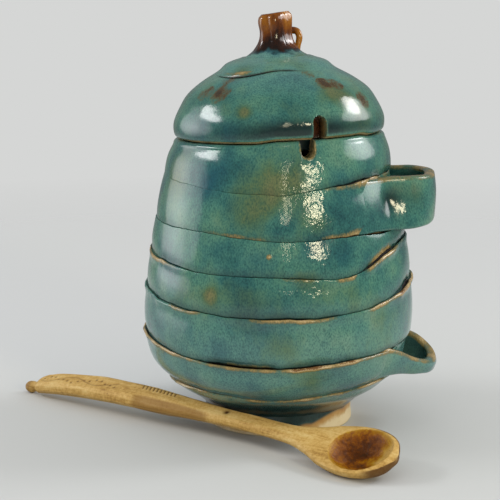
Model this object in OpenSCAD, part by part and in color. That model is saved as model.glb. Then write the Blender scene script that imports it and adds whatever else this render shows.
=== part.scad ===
// A hand-built honey pot of stacked clay strips, with a loose domed lid, two strap loops for
// its wooden spoon, and the spoon lying in front of it. Millimetres, +Z up, the origin at the
// middle of the foot on the table, +X to the right, -Y towards the viewer.
// Azimuths run from the front (0) towards +X.

/* [Foot and floor] */
// Radius of the bare foot
foot_r = 31.2; // [27:0.2:33]
// Height of the foot, which is also the thickness of the floor slab
foot_h = 8.5; // [7:0.5:9.5]
// Rounding of the foot's lower edge
foot_round = 1.2; // [0.4:0.2:2]

/* [Wall] */
// Thickness of the clay wall, square to its surface
wall_t = 6; // [5:0.2:7]
// Height where the wall curls out above the foot
cove_z = 12.5; // [11.5:0.5:14]
// Radius there
cove_r = 35.2; // [33.5:0.2:37]
// Height halfway up the flare
flare_z = 18; // [16.5:0.5:19.5]
// Radius there
flare_r = 43.4; // [41:0.2:45]
// Height of the hip
hip_z = 29; // [26:0.5:32]
// Radius there
hip_r = 53.2; // [50:0.2:54.5]
// Height of the belly
belly_z = 48; // [42:1:54]
// Radius of the belly
belly_r = 55.8; // [53:0.2:59]
// Height where the wall draws in towards the shoulder
waist_z = 83; // [76:1:90]
// Radius there
waist_r = 51.6; // [49:0.2:54]
// Height of the shoulder
shoulder_z = 112; // [106:1:114]
// Radius there
shoulder_r = 45.6; // [44:0.2:48]
// Height of the rim on the pot's axis
rim_z = 120.5; // [118:0.5:128]
// Outer radius of the rim
rim_r = 42.6; // [41:0.2:44]
// Slope of the rim and of the lid that lies on it, in degrees, up towards +X
rim_tilt = 2.2; // [0:0.2:3]

/* [Strips] */
// Height of each seam at the front, counted from the foot
seam_1_z = 19.5; // [18:0.5:21]
// Second seam
seam_2_z = 35; // [33:0.5:38]
// Third seam
seam_3_z = 54.5; // [51:0.5:57]
// Fourth seam
seam_4_z = 70.5; // [67:0.5:73]
// Fifth seam, where the upper strap's lower edge leaves the wall
seam_5_z = 84; // [82:0.5:87]
// Sixth seam, where its upper edge does
seam_6_z = 101.6; // [99:0.2:104]
// How far a strip's top edge stands out at its seam
lip_d = 1.5; // [0.4:0.1:2.2]
// How deep the open seam cuts in above it
seam_d = 1.7; // [0.6:0.1:2.4]
// How far each strip swells between its seams
strip_swell = 0.5; // [0:0.1:1]

/* [Spoon loops] */
// How far the upper loop's strap reaches out from the wall, at its middle
upper_reach = 14; // [12:0.2:17]
// Thickness of the upper strap
upper_t = 4.4; // [3.6:0.2:5]
// How far the lower loop's strap reaches out from the wall
lower_reach = 15.5; // [13:0.1:18]
// Thickness of the lower strap
lower_t = 3.6; // [3:0.2:4.2]
// Rounding of the straps' edges
strap_round = 1; // [0.4:0.1:1.4]

/* [Notches] */
// Width of the U-shaped notch in the pot's rim
pot_notch_w = 5.4; // [4.6:0.2:7]
// Depth of that notch below the rim
pot_notch_h = 6; // [4.5:0.5:8]
// Azimuth of that notch
pot_notch_az = 14.6; // [5:0.2:25]
// Width of the notch in the lid's edge
lid_notch_w = 6; // [5:0.2:8]
// Height of that notch
lid_notch_h = 8.8; // [6:0.2:10]
// Azimuth of that notch
lid_notch_az = 21.7; // [10:0.1:40]

/* [Lid] */
// Gap between the lid and the rim it lies on
lid_gap = 0.3; // [0.2:0.1:0.6]
// How far the lid's widest place stands out past the rim
lid_over = 0.8; // [0:0.2:2]
// Height of the dome, from the lid's edge to the seat of the stem
lid_h = 31.6; // [28:0.2:36]
// Thickness of the dome
lid_t = 6; // [5:0.2:7]
// Play between the locating ring and the mouth, on the radius
flange_play = 1.2; // [0.8:0.1:2]
// Thickness of the locating ring
flange_t = 3; // [2.4:0.2:3.6]
// Depth of the locating ring below the lid's edge
flange_h = 5; // [3:0.5:7]
// How far the upper clay sheet stands out where it laps over the dome
lap_d = 1; // [0.4:0.1:1.4]

/* [Stem and tendril] */
// Radius of the stem's foot on the lid
stem_foot_r = 13.6; // [12:0.2:15]
// Radius of the stem's neck
stem_neck_r = 6.4; // [5.6:0.2:7.6]
// Radius of the stem's head
stem_head_r = 6.8; // [6.2:0.2:8]
// Height of the stem above the dome
stem_h = 18.5; // [15:0.5:22]
// Radius of the tendril
tendril_r = 1.1; // [0.7:0.1:1.2]
// How far the tendril curls out from the stem's neck
tendril_out = 3.8; // [3.4:0.2:5.5]

/* [Spoon] */
// Length of the spoon
spoon_l = 196; // [180:1:210]
// Greatest width of the handle
handle_w = 12.4; // [10:0.2:14]
// Width of the handle's neck
neck_w = 8.4; // [7:0.2:10]
// Width of the bowl
bowl_w = 27; // [23:0.5:31]
// Depth of the bowl's hollow
bowl_d = 6.8; // [5:0.2:8]
// Wood left under the hollow
bowl_t = 2.2; // [1.6:0.2:3]
// Height of the handle's spine over the table where it passes the pot
spoon_arch_z = 9.4; // [8.6:0.2:11]
// Roll of the spoon about its own length, in degrees, its hollow towards the viewer
spoon_roll = 22; // [10:1:28]
// Direction that the spoon points in on the table, in degrees to the right of straight back
spoon_turn = 126.4; // [116:0.2:136]
// Length of spoon between its tip and the place nearest the pot
spoon_past = 112; // [100:1:124]
// Gap between the spoon and the pot's wall
spoon_gap = 2.7; // [1:0.1:8]

/* [Hidden] */
$fn = 96;

// Columns of points round the pot and the lid
COLS = 60;
// Columns round the stem
STEM_COLS = 24;
// Sections along each span of a strap's route
STRAP_STEPS = 3;
// Points round one section of the spoon
SPOON_SIDES = 20;
// Small overrun for cutting tools
OVER = 1;
// Columns of the wall that the straps are rooted on: the first of each pair of columns
UPPER_ROOTS = [7, 18];
LOWER_ROOTS = [10, 17];
// Places up a strip: the top of its bed and the start of its brow, each a share of the strip's
// height up to a length, and the two places where it swells, as shares alone
BED = [0.15, 1.4];
SWELL = [0.3, 0.62];
BROW = [0.25, 2.2];
LIP = [0.08, 0.6];

GLAZE = "#3f7f78";
GLAZE_DARK = "#2f6b6b";
CLAY = "#c9a468";
AMBER = "#8a4a12";
WOOD = "#c8a468";

// Rise of each seam over its height at the front, every 30 degrees of azimuth from there
seam_rise = [
    [0, 2.5, 4.5, 4.5, 3, 2, 1.5, 1, 0.5, 0.5, 1.5, 1.3],
    [0, 1.8, 2.2, 1, 2, 3, 3, 3.5, 4.5, 5, 3, 0.6],
    [0, 0.8, 5.3, 8.5, 6.5, 4.5, 3.5, 4, 4.5, 4.5, 2.5, 0.5],
    [0, -1, 7.6, 9.5, 6.5, 3.5, 2, 2.5, 3.5, 3.3, 1.8, -0.2],
    [0, 0.8, 0.5, 2, 3, 3.5, 4, 4, 3.5, 3, 2.5, 2],
    [0, 2.9, 4.9, 5.2, 4.9, 4.4, 3.9, 3.4, 3.4, 3.4, 2.4, 0.9]
];
seam_z = [seam_1_z, seam_2_z, seam_3_z, seam_4_z, seam_5_z, seam_6_z];
// How strongly each seam shows, from a sharp open one to a nearly closed one
seam_share = [0.7, 1, 0.95, 0.9, 0.4, 0.3];

// Outline of the outer wall, from the top of the foot to the rim
wall_line = [
    [foot_h, foot_r], [cove_z, cove_r], [flare_z, flare_r], [hip_z, hip_r],
    [belly_z, belly_r], [waist_z, waist_r], [shoulder_z, shoulder_r], [rim_z, rim_r]
];

// ---- curves ----

// Slope of a table of [x, value] rows at row i, from the rows beside it
function slope(t, i) =
    let (a = max(i - 1, 0), b = min(i + 1, len(t) - 1))
    (t[b][1] - t[a][1]) / (t[b][0] - t[a][0]);

// Row of the table that x falls after
function row_of(t, x, i = 0) = i >= len(t) - 2 || x < t[i + 1][0] ? i : row_of(t, x, i + 1);

// Smooth curve through a table's rows, whose values are numbers or points
function curve(t, x) =
    let (
        i = row_of(t, x), h = t[i + 1][0] - t[i][0], u = (x - t[i][0]) / h,
        u2 = u * u, u3 = u2 * u
    )
    (2 * u3 - 3 * u2 + 1) * t[i][1] + (u3 - 2 * u2 + u) * h * slope(t, i)
    + (3 * u2 - 2 * u3) * t[i + 1][1] + (u3 - u2) * h * slope(t, i + 1);

// Smooth closed curve through evenly spaced values round the circle
function ring_curve(v, az) =
    let (
        n = len(v), s = az * n / 360, i = floor(s), u = s - i,
        p0 = v[(i - 1 + n) % n], p1 = v[i % n], p2 = v[(i + 1) % n], p3 = v[(i + 2) % n]
    )
    p1 + u * ((p2 - p0) / 2 + u * (p0 - 2.5 * p1 + 2 * p2 - p3 / 2
    + u * (1.5 * (p1 - p2) + (p3 - p0) / 2)));

// Point at an azimuth, a radius and a height
function at(az, r, z) = [r * sin(az), -r * cos(az), z];

// Table rows numbered from 0, for a curve through points
function numbered(points) = [for (i = [0 : len(points) - 1]) [i, points[i]]];

// ---- meshes: sections that run one after the other, each a list of points ----

// Triangles between the sections; a section may close on itself, and so may their row. The
// squares of row turned split along their other diagonal, to lie flat on a neighbour's face.
function skin(n, m, closed_row, closed_section, turned = -1) = [
    for (i = [0 : n - (closed_row ? 1 : 2)], k = [0 : m - (closed_section ? 1 : 2)])
        let (
            a = i * m + k, b = i * m + (k + 1) % m,
            c = (i + 1) % n * m + (k + 1) % m, d = (i + 1) % n * m + k
        )
        each k == turned ? [[a, b, d], [b, c, d]] : [[a, b, c], [a, c, d]]
];

// A ring whose sections go round the axis
module ring_mesh(sections) {
    polyhedron(
        points = [for (s = sections) each s],
        faces = skin(len(sections), len(sections[0]), true, true, len(sections[0]) - 1),
        convexity = 6
    );
}

// A closed cap: each section runs from near the axis above, over the edge, to near it below
module cap_mesh(sections, top, bottom, turned = -1) {
    n = len(sections);
    m = len(sections[0]);
    polyhedron(
        points = concat([for (s = sections) each s], [bottom, top]),
        faces = concat(
            skin(n, m, true, false, turned),
            [for (i = [0 : n - 1]) [n * m, i * m, (i + 1) % n * m]],
            [for (i = [0 : n - 1]) [n * m + 1, (i + 1) % n * m + m - 1, i * m + m - 1]]
        ),
        convexity = 6
    );
}

// A bar whose sections follow a path, with flat ends
module bar_mesh(sections) {
    n = len(sections);
    m = len(sections[0]);
    polyhedron(
        points = [for (s = sections) each s],
        faces = concat(
            skin(n, m, false, true),
            [[for (k = [m - 1 : -1 : 0]) k]],
            [[for (k = [0 : m - 1]) (n - 1) * m + k]]
        ),
        convexity = 6
    );
}

// ---- the wall ----

function wall_r(z) = curve(wall_line, z);

// Inner radius, one wall thickness in from the outer surface
function wall_in(z) =
    let (step = 0.5, lean = (wall_r(z + step / 2) - wall_r(z - step / 2)) / step)
    wall_r(z) - wall_t * sqrt(1 + lean * lean);

// Height of seam k at an azimuth; seam 0 is the floor's top, and seam 7 the rim
function seam(k, az) =
    k == 0 ? foot_h : k == 7 ? rim_z : seam_z[k - 1] + ring_curve(seam_rise[k - 1], az);

function share(k) = k == 0 || k == 7 ? 0 : seam_share[k - 1];

// Height of the sloping rim plane at a radius
function rim_at(az, r) = rim_z + r * sin(az) * tan(rim_tilt);

// Share of a height, up to a length; the rule is [share, length]
function up_to(h, rule) = min(h * rule[0], rule[1]);

// Outer points of strip k at an azimuth, from its lower seam to its upper one
function strip_face(k, az) =
    let (
        low = seam(k - 1, az), high = seam(k, az), h = high - low, lip = lip_d * share(k),
        bed = low + up_to(h, BED), lower = low + SWELL[0] * h, upper = low + SWELL[1] * h,
        brow = high - up_to(h, BROW)
    )
    [
        at(az, wall_r(bed), bed),
        at(az, wall_r(lower) + strip_swell, lower),
        at(az, wall_r(upper) + strip_swell, upper),
        at(az, wall_r(brow) + 0.6 * lip, brow)
    ];

// Closed section of strip k, from the outside of its bed round to its inside
function strip_section(k, az) =
    let (
        low = seam(k - 1, az), high = seam(k, az),
        lip_z = high - up_to(high - low, LIP)
    )
    concat(
        [at(az, wall_r(low) - seam_d * share(k - 1), low)],
        strip_face(k, az),
        [
            at(az, wall_r(high) + lip_d * share(k), lip_z),
            at(az, wall_r(high) - seam_d * share(k), high),
            at(az, wall_in(high), high),
            at(az, wall_in(low), low)
        ]
    );

// Section of the top strip, whose rim is rounded and lies on a sloping plane
function rim_section(az) =
    let (
        low = seam(6, az), h = rim_z - low, bed = low + up_to(h, BED),
        lower = low + SWELL[0] * h, drop = 3.2, edge = 1.6, in_r = wall_in(rim_z)
    )
    [
        at(az, wall_r(low) - seam_d * share(6), low),
        at(az, wall_r(bed), bed),
        at(az, wall_r(lower) + strip_swell / 2, lower),
        at(az, wall_r(rim_z - drop), rim_at(az, rim_r) - drop),
        at(az, rim_r - 0.3, rim_at(az, rim_r) - edge / 2),
        at(az, rim_r - edge, rim_at(az, rim_r - edge)),
        at(az, in_r + edge / 2, rim_at(az, in_r + edge / 2)),
        at(az, in_r, rim_at(az, in_r) - edge / 2),
        at(az, wall_in(low), low)
    ];

function column(i) = 360 * i / COLS;

module band(k) {
    ring_mesh([
        for (i = [0 : COLS - 1]) k == 7 ? rim_section(column(i)) : strip_section(k, column(i))
    ]);
}

// A U-shaped cutter that points outwards at an azimuth: its round end at height 0, w wide
module notch_cutter(az, w, h, from_r, to_r) {
    rotate([0, 0, az])
        translate([0, -from_r, w / 2])
            rotate([90, 0, 0])
                linear_extrude(to_r - from_r)
                    union() {
                        circle(d = w);
                        translate([-w / 2, 0])
                            square([w, h]);
                    }
}

module base() {
    color(CLAY)
        rotate_extrude()
            polygon(concat(
                [[0, 0], [foot_r - foot_round, 0]],
                [for (a = [15 : 15 : 90]) [
                    foot_r - foot_round + foot_round * sin(a), foot_round - foot_round * cos(a)
                ]],
                [[foot_r, foot_h], [0, foot_h]]
            ));
}

module band_1() {
    color(GLAZE_DARK)
        band(1);
}

module band_2() {
    color(GLAZE)
        band(2);
}

module band_3() {
    color(GLAZE)
        band(3);
}

module band_4() {
    color(GLAZE)
        band(4);
}

module band_5() {
    color(GLAZE)
        band(5);
}

module band_6() {
    color(GLAZE)
        band(6);
}

module band_7() {
    color(GLAZE)
        difference() {
            band(7);
            translate([0, 0, rim_at(pot_notch_az, rim_r) - pot_notch_h])
                notch_cutter(
                    pot_notch_az, pot_notch_w, pot_notch_h + OVER,
                    wall_in(rim_z) - 2 * OVER, rim_r + 2 * OVER
                );
        }
}

// ---- the spoon loops: straps that peel off the wall and come back to it ----

// Each route row: azimuth, share of the reach, lower edge and upper edge over their seams
upper_route = [
    [55, 0.23, 0.8, 3.5], [67, 0.34, 0.5, 3], [76, 0.7, 0.6, 3], [84, 0.95, 2, 2.8],
    [91, 1, 3.2, 2.8], [99, 0.92, 4, 3], [105.5, 0.62, 4, 3.5]
];
lower_route = [
    [69, 0.2, 4.4, -2.6], [76, 0.62, 2.9, -6.2], [82, 0.95, 1.9, -8.3], [88, 1, 1.6, -8.2],
    [94, 0.78, 2.4, -5.8], [99.5, 0.4, 3.2, -1.5]
];

// Route points [azimuth, distance from the wall, lower edge, upper edge], with both roots
function strap_line(k, first, last, route, reach) =
    let (root = [0, seam_z[k - 2], seam_z[k - 1]])
    numbered(concat(
        [[column(first + 0.5), root[0], root[1], root[2]]],
        [for (p = route) [p[0], p[1] * reach, root[1] + p[2], root[2] + p[3]]],
        [[column(last + 0.5), root[0], root[1], root[2]]]
    ));

// Middle of the strap in plan, at a place along its route
function strap_spot(line, u) =
    let (p = curve(line, u))
    at(p[0], wall_r((p[2] + p[3]) / 2) + p[1], 0);

// Section of the strap: up its outer side and down its inner one. Near the wall it leans as
// the wall does, and out at its middle it stands upright.
function strap_section(line, u, t, reach) =
    let (
        p = curve(line, u), spot = strap_spot(line, u), step = 0.05,
        run = strap_spot(line, u + step) - strap_spot(line, u - step),
        out = [run[1], -run[0], 0] / norm(run), mid_r = wall_r((p[2] + p[3]) / 2),
        z = [p[2], p[2] + 1.6 * strap_round, p[3] - 1.6 * strap_round, p[3]],
        half = [t / 2 - strap_round, t / 2, t / 2, t / 2 - strap_round],
        row = [for (j = [0 : 3])
            spot + at(p[0], (1 - p[1] / reach) * (wall_r(z[j]) - mid_r), z[j])]
    )
    concat(
        [for (j = [0 : 3]) row[j] + out * half[j]],
        [for (j = [3 : -1 : 0]) row[j] - out * half[j]]
    );

// A root of the strap: the wall's own points on two columns, the first on the outer side
function strap_root(k, outer, inner) =
    let (a = strip_face(k, column(outer)), b = strip_face(k, column(inner)))
    concat(a, [b[3], b[2], b[1], b[0]]);

// A strap from the wall of strip k and back
module strap(k, roots, route, reach, t) {
    first = roots[0];
    last = roots[1];
    line = strap_line(k, first, last, route, reach);
    count = STRAP_STEPS * (len(line) - 1);
    // The strap runs straight from each root to its first section, clear of the wall.
    sections = concat(
        [strap_root(k, first, first + 1)],
        [for (i = [STRAP_STEPS : count - STRAP_STEPS])
            strap_section(line, i / STRAP_STEPS, t, reach)],
        [strap_root(k, last + 1, last)]
    );
    rows = len(sections);
    end = 8 * (rows - 1);
    polyhedron(
        points = [for (s = sections) each s],
        faces = concat(
            skin(rows, 8, false, true),
            // The end faces split along the same diagonals as the wall that they lie on.
            [for (j = [0 : 2]) each [[6 - j, j + 1, j], [7 - j, 6 - j, j]]],
            [for (j = [0 : 2]) each [
                [end + j + 1, end + 6 - j, end + 7 - j], [end + j, end + j + 1, end + 7 - j]
            ]]
        ),
        convexity = 6
    );
}

module upper_loop() {
    color(GLAZE)
        strap(6, UPPER_ROOTS, upper_route, upper_reach, upper_t);
}

module lower_loop() {
    color(GLAZE)
        strap(2, LOWER_ROOTS, lower_route, lower_reach, lower_t);
}

// ---- the lid, drawn on its own flat edge and then laid on the sloping rim ----

module on_rim() {
    translate([0, 0, rim_z + lid_gap])
        rotate([0, -rim_tilt, 0])
            children();
}

lid_r = rim_r + lid_over;
// How far the lid's sole draws in under its widest place
SOLE_IN = 2.4;
stem_seat_r = stem_foot_r + 0.4;
// Outside of the dome from its sole to the stem's seat, as [place, [radius, height]]
dome_line = numbered([
    [lid_r - SOLE_IN, 0], [lid_r - 0.6, 1.2], [lid_r, 4.2], [lid_r - 0.5, 7.5],
    [lid_r - 2.6, 0.38 * lid_h], [lid_r - 6.2, 0.55 * lid_h], [lid_r - 12.4, 0.7 * lid_h],
    [lid_r - 19.4, 0.83 * lid_h], [(lid_r + stem_seat_r) / 2 - 8.5, 0.93 * lid_h],
    [stem_seat_r, lid_h]
]);
// Outer radius of the locating ring, and the mouth of the hollow that it stands round
flange_r = wall_in(rim_z) - flange_play;
lid_in_r = flange_r - flange_t - 0.4;
// Inside of the dome, from its sole towards the axis
hollow_line = numbered([
    [lid_in_r, 0], [lid_in_r + 2, 5], [lid_in_r + 0.4, 0.38 * lid_h],
    [lid_in_r - 7, 0.72 * lid_h - 0.6 * lid_t], [lid_in_r - 16, 0.92 * lid_h - 0.8 * lid_t],
    [lid_in_r - 26, lid_h - lid_t]
]);
// Place along the dome's line where the upper sheet laps over, every 30 degrees
lap_place = [7.16, 7.02, 7, 7, 7, 7, 7, 7, 7, 6.85, 6.66, 6.68];
// Place along the hollow's line where the two sheets meet inside
HOLLOW_LAP = 3.4;

// How strongly the lap stands out: at the front and left, and not behind
function lap_step(az) = lap_d * max(0, cos(1.7 * (az > 180 ? az - 340 : az + 20)));

function swing(p, az) = at(az, p[0], p[1]);

function skirt_section(az) =
    let (place = ring_curve(lap_place, az), n = 8)
    concat(
        [for (j = [0 : n]) swing(curve(dome_line, place * j / n), az)],
        [for (j = [4 : -1 : 0]) swing(curve(hollow_line, HOLLOW_LAP * j / 4), az)]
    );

function cap_section(az) =
    let (
        place = ring_curve(lap_place, az), last = len(dome_line) - 1, lap = lap_step(az),
        edge = curve(dome_line, place), hollow_last = len(hollow_line) - 1
    )
    concat(
        [for (j = [3 : -1 : 0]) swing(curve(hollow_line, HOLLOW_LAP
            + (hollow_last - HOLLOW_LAP) * j / 3), az)],
        [
            swing(edge, az),
            swing(edge + [0.5 * lap, 0.15 * lap], az),
            swing(curve(dome_line, place + 0.08) + [0.3 * lap, lap], az)
        ],
        [for (j = [1 : 3]) swing(
            curve(dome_line, place + 0.3 + (last - place - 0.3) * j / 3)
            + [0, lap * (3 - j) / 3], az
        )]
    );

module lid_skirt() {
    color(GLAZE)
        on_rim()
            difference() {
                ring_mesh([for (i = [0 : COLS - 1]) skirt_section(column(i))]);
                translate([0, 0, lid_notch_h])
                    rotate([0, 0, lid_notch_az])
                        rotate([0, 180, 0])
                            notch_cutter(
                                0, lid_notch_w, lid_notch_h + OVER,
                                flange_r + OVER, lid_r + 2 * OVER
                            );
            }
}

module lid_cap() {
    color(GLAZE)
        on_rim()
            cap_mesh(
                [for (i = [0 : COLS - 1]) cap_section(column(i))],
                [0, 0, lid_h], [0, 0, lid_h - lid_t], 3
            );
}

module lid_flange() {
    color(CLAY)
        on_rim()
            translate([0, 0, -flange_h])
                rotate_extrude()
                    polygon([
                        [flange_r - flange_t, 0], [flange_r - 0.8, 0], [flange_r, 0.8],
                        [flange_r, flange_h], [flange_r - flange_t, flange_h]
                    ]);
}

// ---- the stem: a stub of twig with a dipped, lopsided head ----

// Rows of the stem from its foot up: share of the height, [sideways shift, radius, lobes]
stem_line = [
    [0, [0, stem_foot_r, 0.1]], [0.1, [-0.1, stem_foot_r - 3.4, 0.4]],
    [0.2, [-0.3, (stem_foot_r + stem_neck_r) / 2 - 1.4, 0.8]],
    [0.36, [-0.4, stem_neck_r + 0.5, 1]], [0.55, [-0.4, stem_neck_r, 0.9]],
    [0.78, [-0.6, stem_head_r, 1]], [0.92, [-0.6, stem_head_r - 0.3, 1.1]],
    [1, [-0.5, stem_head_r - 1.4, 1]]
];
STEM_ROWS = [0, 0.05, 0.1, 0.2, 0.34, 0.5, 0.66, 0.8, 0.92, 1];
// How far the head's right side stands up over its left, and how deep its middle dips
HEAD_RISE = 0.6;
HEAD_DIP = 2.2;

// Radius of the twig at an angle: a few soft lobes where side shoots were
function lobed(r, amount, az) =
    r + amount * (0.32 * cos(3 * az + 40) + 0.26 * cos(5 * az - 70) + 0.14 * cos(8 * az));

function stem_point(part, az) =
    let (
        p = curve(stem_line, part), r = lobed(p[1], p[2], az),
        rise = HEAD_RISE * max(0, part - 0.6) / 0.4 * sin(az)
    )
    [p[0] + r * sin(az), -r * cos(az), lid_h + stem_h * part + rise - 1.2 * part];

function stem_section(az) =
    let (brim = stem_point(1, az), heart = [stem_line[7][1][0], 0, brim[2] - HEAD_DIP])
    concat([for (part = STEM_ROWS) stem_point(part, az)], [brim * 0.5 + heart * 0.5]);

module stem_body() {
    cap_mesh(
        [for (i = [0 : STEM_COLS - 1]) stem_section(360 * i / STEM_COLS)],
        [stem_line[7][1][0], 0, lid_h + stem_h - HEAD_DIP - 0.6], [0, 0, lid_h]
    );
}

module stem() {
    color(AMBER)
        on_rim()
            stem_body();
}

// The tendril's path: distance out from the stem's axis, height over the dome, step back
tendril_base = stem_neck_r - 0.6;
tendril_line = numbered([
    [tendril_base - 0.9, 3, 9.4], [tendril_base + 0.34 * tendril_out, 3, 10.2],
    [tendril_base + 0.76 * tendril_out, 2.6, 9.8], [tendril_base + tendril_out, 2.2, 8.2],
    [tendril_base + 0.94 * tendril_out, 2, 6.2], [tendril_base + 0.8 * tendril_out, 1.8, 4.6],
    [tendril_base + 0.72 * tendril_out, 1.6, 1.4]
]);
TENDRIL_SIDES = 8;
TENDRIL_STEPS = 3;

function tendril_section(u) =
    let (
        p = curve(tendril_line, u), run = curve(tendril_line, u + 0.05) - curve(tendril_line, u - 0.05),
        dir = run / norm(run), side = [0, 1, 0], over = cross(dir, side),
        flat = over / norm(over), r = tendril_r * (1.25 - 0.05 * u)
    )
    [for (k = [0 : TENDRIL_SIDES - 1])
        let (a = 360 * k / TENDRIL_SIDES)
        p + [0, 0, lid_h] + r * (cos(a) * flat + sin(a) * cross(flat, dir))];

module tendril() {
    count = TENDRIL_STEPS * (len(tendril_line) - 1);
    color(AMBER)
        on_rim()
            difference() {
                bar_mesh([for (i = [0 : count]) tendril_section(i / TENDRIL_STEPS)]);
                stem_body();
            }
}

// ---- the spoon: carved from one piece of wood ----

// Rows from the tip: place, [half width, wood above and below the spine, hollow, spine height]
bowl_at = spoon_l - 19;
// Depth of wood under the spine at the middle of the bowl
bowl_under = bowl_d + bowl_t - 1.6;
// Height of the spine at which a section of that half width and depth rests on the table
function rest_z(half, under) = norm([half * sin(spoon_roll), under * cos(spoon_roll)]);
bowl_z = rest_z(bowl_w / 2, bowl_under);
tip_r = 2.6;
tip_z = rest_z(tip_r, tip_r);
spoon_line = [
    [0, [0.3, 0.3, 0.3, 0, tip_z]], [1.5, [2.1, 2.1, 2.1, 0, tip_z]],
    [4, [tip_r, tip_r, tip_r, 0, tip_z]], [7, [1.9, 1.9, 1.9, 0, tip_z + 0.9]],
    [11, [0.29 * handle_w, 2.8, 3.2, 0, tip_z + 2.1]],
    [26, [0.44 * handle_w, 3.2, 4, 0, 0.8 * spoon_arch_z]],
    [52, [handle_w / 2, 3.3, 4.2, 0, spoon_arch_z + 0.1]],
    [80, [0.45 * handle_w, 3.1, 4, 0, spoon_arch_z + 0.4]],
    [spoon_past - 6, [neck_w / 2, 2.6, 4.2, 0, spoon_arch_z + 0.1]],
    [bowl_at - 41, [neck_w / 2 - 0.1, 2.5, 3, 0, spoon_arch_z - 0.5]],
    [bowl_at - 27, [neck_w / 2 + 0.6, 2.5, 3.2, 0, spoon_arch_z - 0.8]],
    [bowl_at - 18, [0.28 * bowl_w, 2.2, 0.65 * bowl_under, 0.15 * bowl_d, bowl_z]],
    [bowl_at - 10, [0.415 * bowl_w, 1.8, 0.9 * bowl_under, 0.74 * bowl_d, bowl_z]],
    [bowl_at, [bowl_w / 2, 1.6, bowl_under, bowl_d, bowl_z]],
    [bowl_at + 9, [0.465 * bowl_w, 1.6, 0.94 * bowl_under, 0.88 * bowl_d, bowl_z]],
    [bowl_at + 15.5, [0.32 * bowl_w, 1.6, 0.72 * bowl_under, 0.35 * bowl_d, bowl_z]],
    [spoon_l, [0.09 * bowl_w, 1, 2.2, 0, bowl_z]]
];
// Places of the sections: close together at the tip and round the bowl
spoon_places = concat(
    [0, 0.7, 1.5, 2.7, 4, 5.5, 7, 8.6, 11, 15, 20, 26, 34, 43, 52, 62, 72, 82, 94],
    [spoon_past - 4, (spoon_past + bowl_at) / 2 - 22, bowl_at - 41],
    [for (s = [-33, -27, -22.5, -18, -14, -10, -5, 0, 5, 9, 12.5, 15.5, 17.6, 19]) bowl_at + s]
);
// Share of the bowl's width that the hollow takes
HOLLOW_SHARE = 0.86;

function spoon_section(s) =
    let (p = curve(spoon_line, s))
    [for (k = [0 : SPOON_SIDES - 1])
        let (
            a = 360 * k / SPOON_SIDES, c = cos(a), round = max(0, 1 - c * c),
            dish = p[3] * max(0, 1 - pow(c / HOLLOW_SHARE, 2)),
            across = p[0] * c,
            up = sin(a) > 0.001 ? p[1] * pow(round, 0.4) - dish : -p[2] * sqrt(round)
        )
        [
            s, -(across * cos(spoon_roll) + up * sin(spoon_roll)),
            p[4] - across * sin(spoon_roll) + up * cos(spoon_roll)
        ]];

// Distance of the spoon's line from the pot's axis: the wall, half the neck and the gap
spoon_side_z = spoon_arch_z + neck_w / 2 * sin(spoon_roll);
spoon_out = wall_r(spoon_side_z) + neck_w / 2 * cos(spoon_roll) + spoon_gap;

module spoon() {
    color(WOOD)
        rotate([0, 0, 90 - spoon_turn])
            translate([-spoon_past, -spoon_out, 0])
                bar_mesh([for (s = spoon_places) spoon_section(s)]);
}

base();
band_1();
band_2();
band_3();
band_4();
band_5();
band_6();
band_7();
upper_loop();
lower_loop();
lid_skirt();
lid_cap();
lid_flange();
stem();
tendril();
spoon();
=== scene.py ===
"""Dresses the honey pot: clay strips on a turned foot, two strap loops, a loose domed lid
with a twig stem, and a carved wooden spoon.

Lengths are in millimetres, +Z up, and the front looks towards -Y. Azimuths run from the
front (0) towards +X, as they do in the part's source. Meshes are made in metres.
"""

import itertools
import logging
import math
from dataclasses import dataclass, field
from enum import Enum
from typing import Any, ClassVar

import bmesh
import bpy
import numpy as np
from mathutils import Matrix, Vector


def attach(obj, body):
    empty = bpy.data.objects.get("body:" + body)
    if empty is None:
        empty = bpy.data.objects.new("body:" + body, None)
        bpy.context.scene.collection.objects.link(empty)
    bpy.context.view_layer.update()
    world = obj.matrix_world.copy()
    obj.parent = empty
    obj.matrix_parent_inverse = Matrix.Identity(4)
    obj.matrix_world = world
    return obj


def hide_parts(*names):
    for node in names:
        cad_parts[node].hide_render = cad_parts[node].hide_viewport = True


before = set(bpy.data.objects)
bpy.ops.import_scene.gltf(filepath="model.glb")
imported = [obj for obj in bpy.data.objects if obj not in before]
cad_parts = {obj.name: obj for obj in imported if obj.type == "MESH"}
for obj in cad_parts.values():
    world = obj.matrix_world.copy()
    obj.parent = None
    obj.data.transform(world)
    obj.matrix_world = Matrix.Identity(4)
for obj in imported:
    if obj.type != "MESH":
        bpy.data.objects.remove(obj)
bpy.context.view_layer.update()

Array = np.ndarray
Rows = tuple[tuple[float, ...], ...]
MM = 0.001
LOG = logging.getLogger("honey_pot")


class Mask(Enum):
    """What is stored at each point for the finishes, each from 0 to 1."""

    EDGE = "edge"  # glaze run thin over an edge
    CREVICE = "crevice"  # depth of an open seam, painted near black as its shade
    THICK = "thick"  # thick glaze pools dark, and painted shade in hollows, low on the pot and inside it
    RUST = "rust"  # iron patches on the lid
    AMBER = "amber"  # the stem's brown glaze
    BARE = "bare"  # clay without glaze
    CRINKLE = "crinkle"  # glaze drawn into fine wrinkles
    TINT = "tint"  # tan where above 0, deep blue where below; on the stem, tendril and spoon it also carries painted highlight and shade
    STAIN = "stain"  # honey stain in the wood
    CUT = "cut"  # knife and burin marks in the wood


class Trait(Enum):
    """What the tables of a seam tell, by azimuth."""

    LIP = "lip"
    GAP = "gap"
    GOLD = "gold"
    HANG = "hang"


class Body(Enum):
    """The loose parts, which the pieces ride on."""

    POT = "pot"
    LID = "lid"
    SPOON = "spoon"


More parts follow.
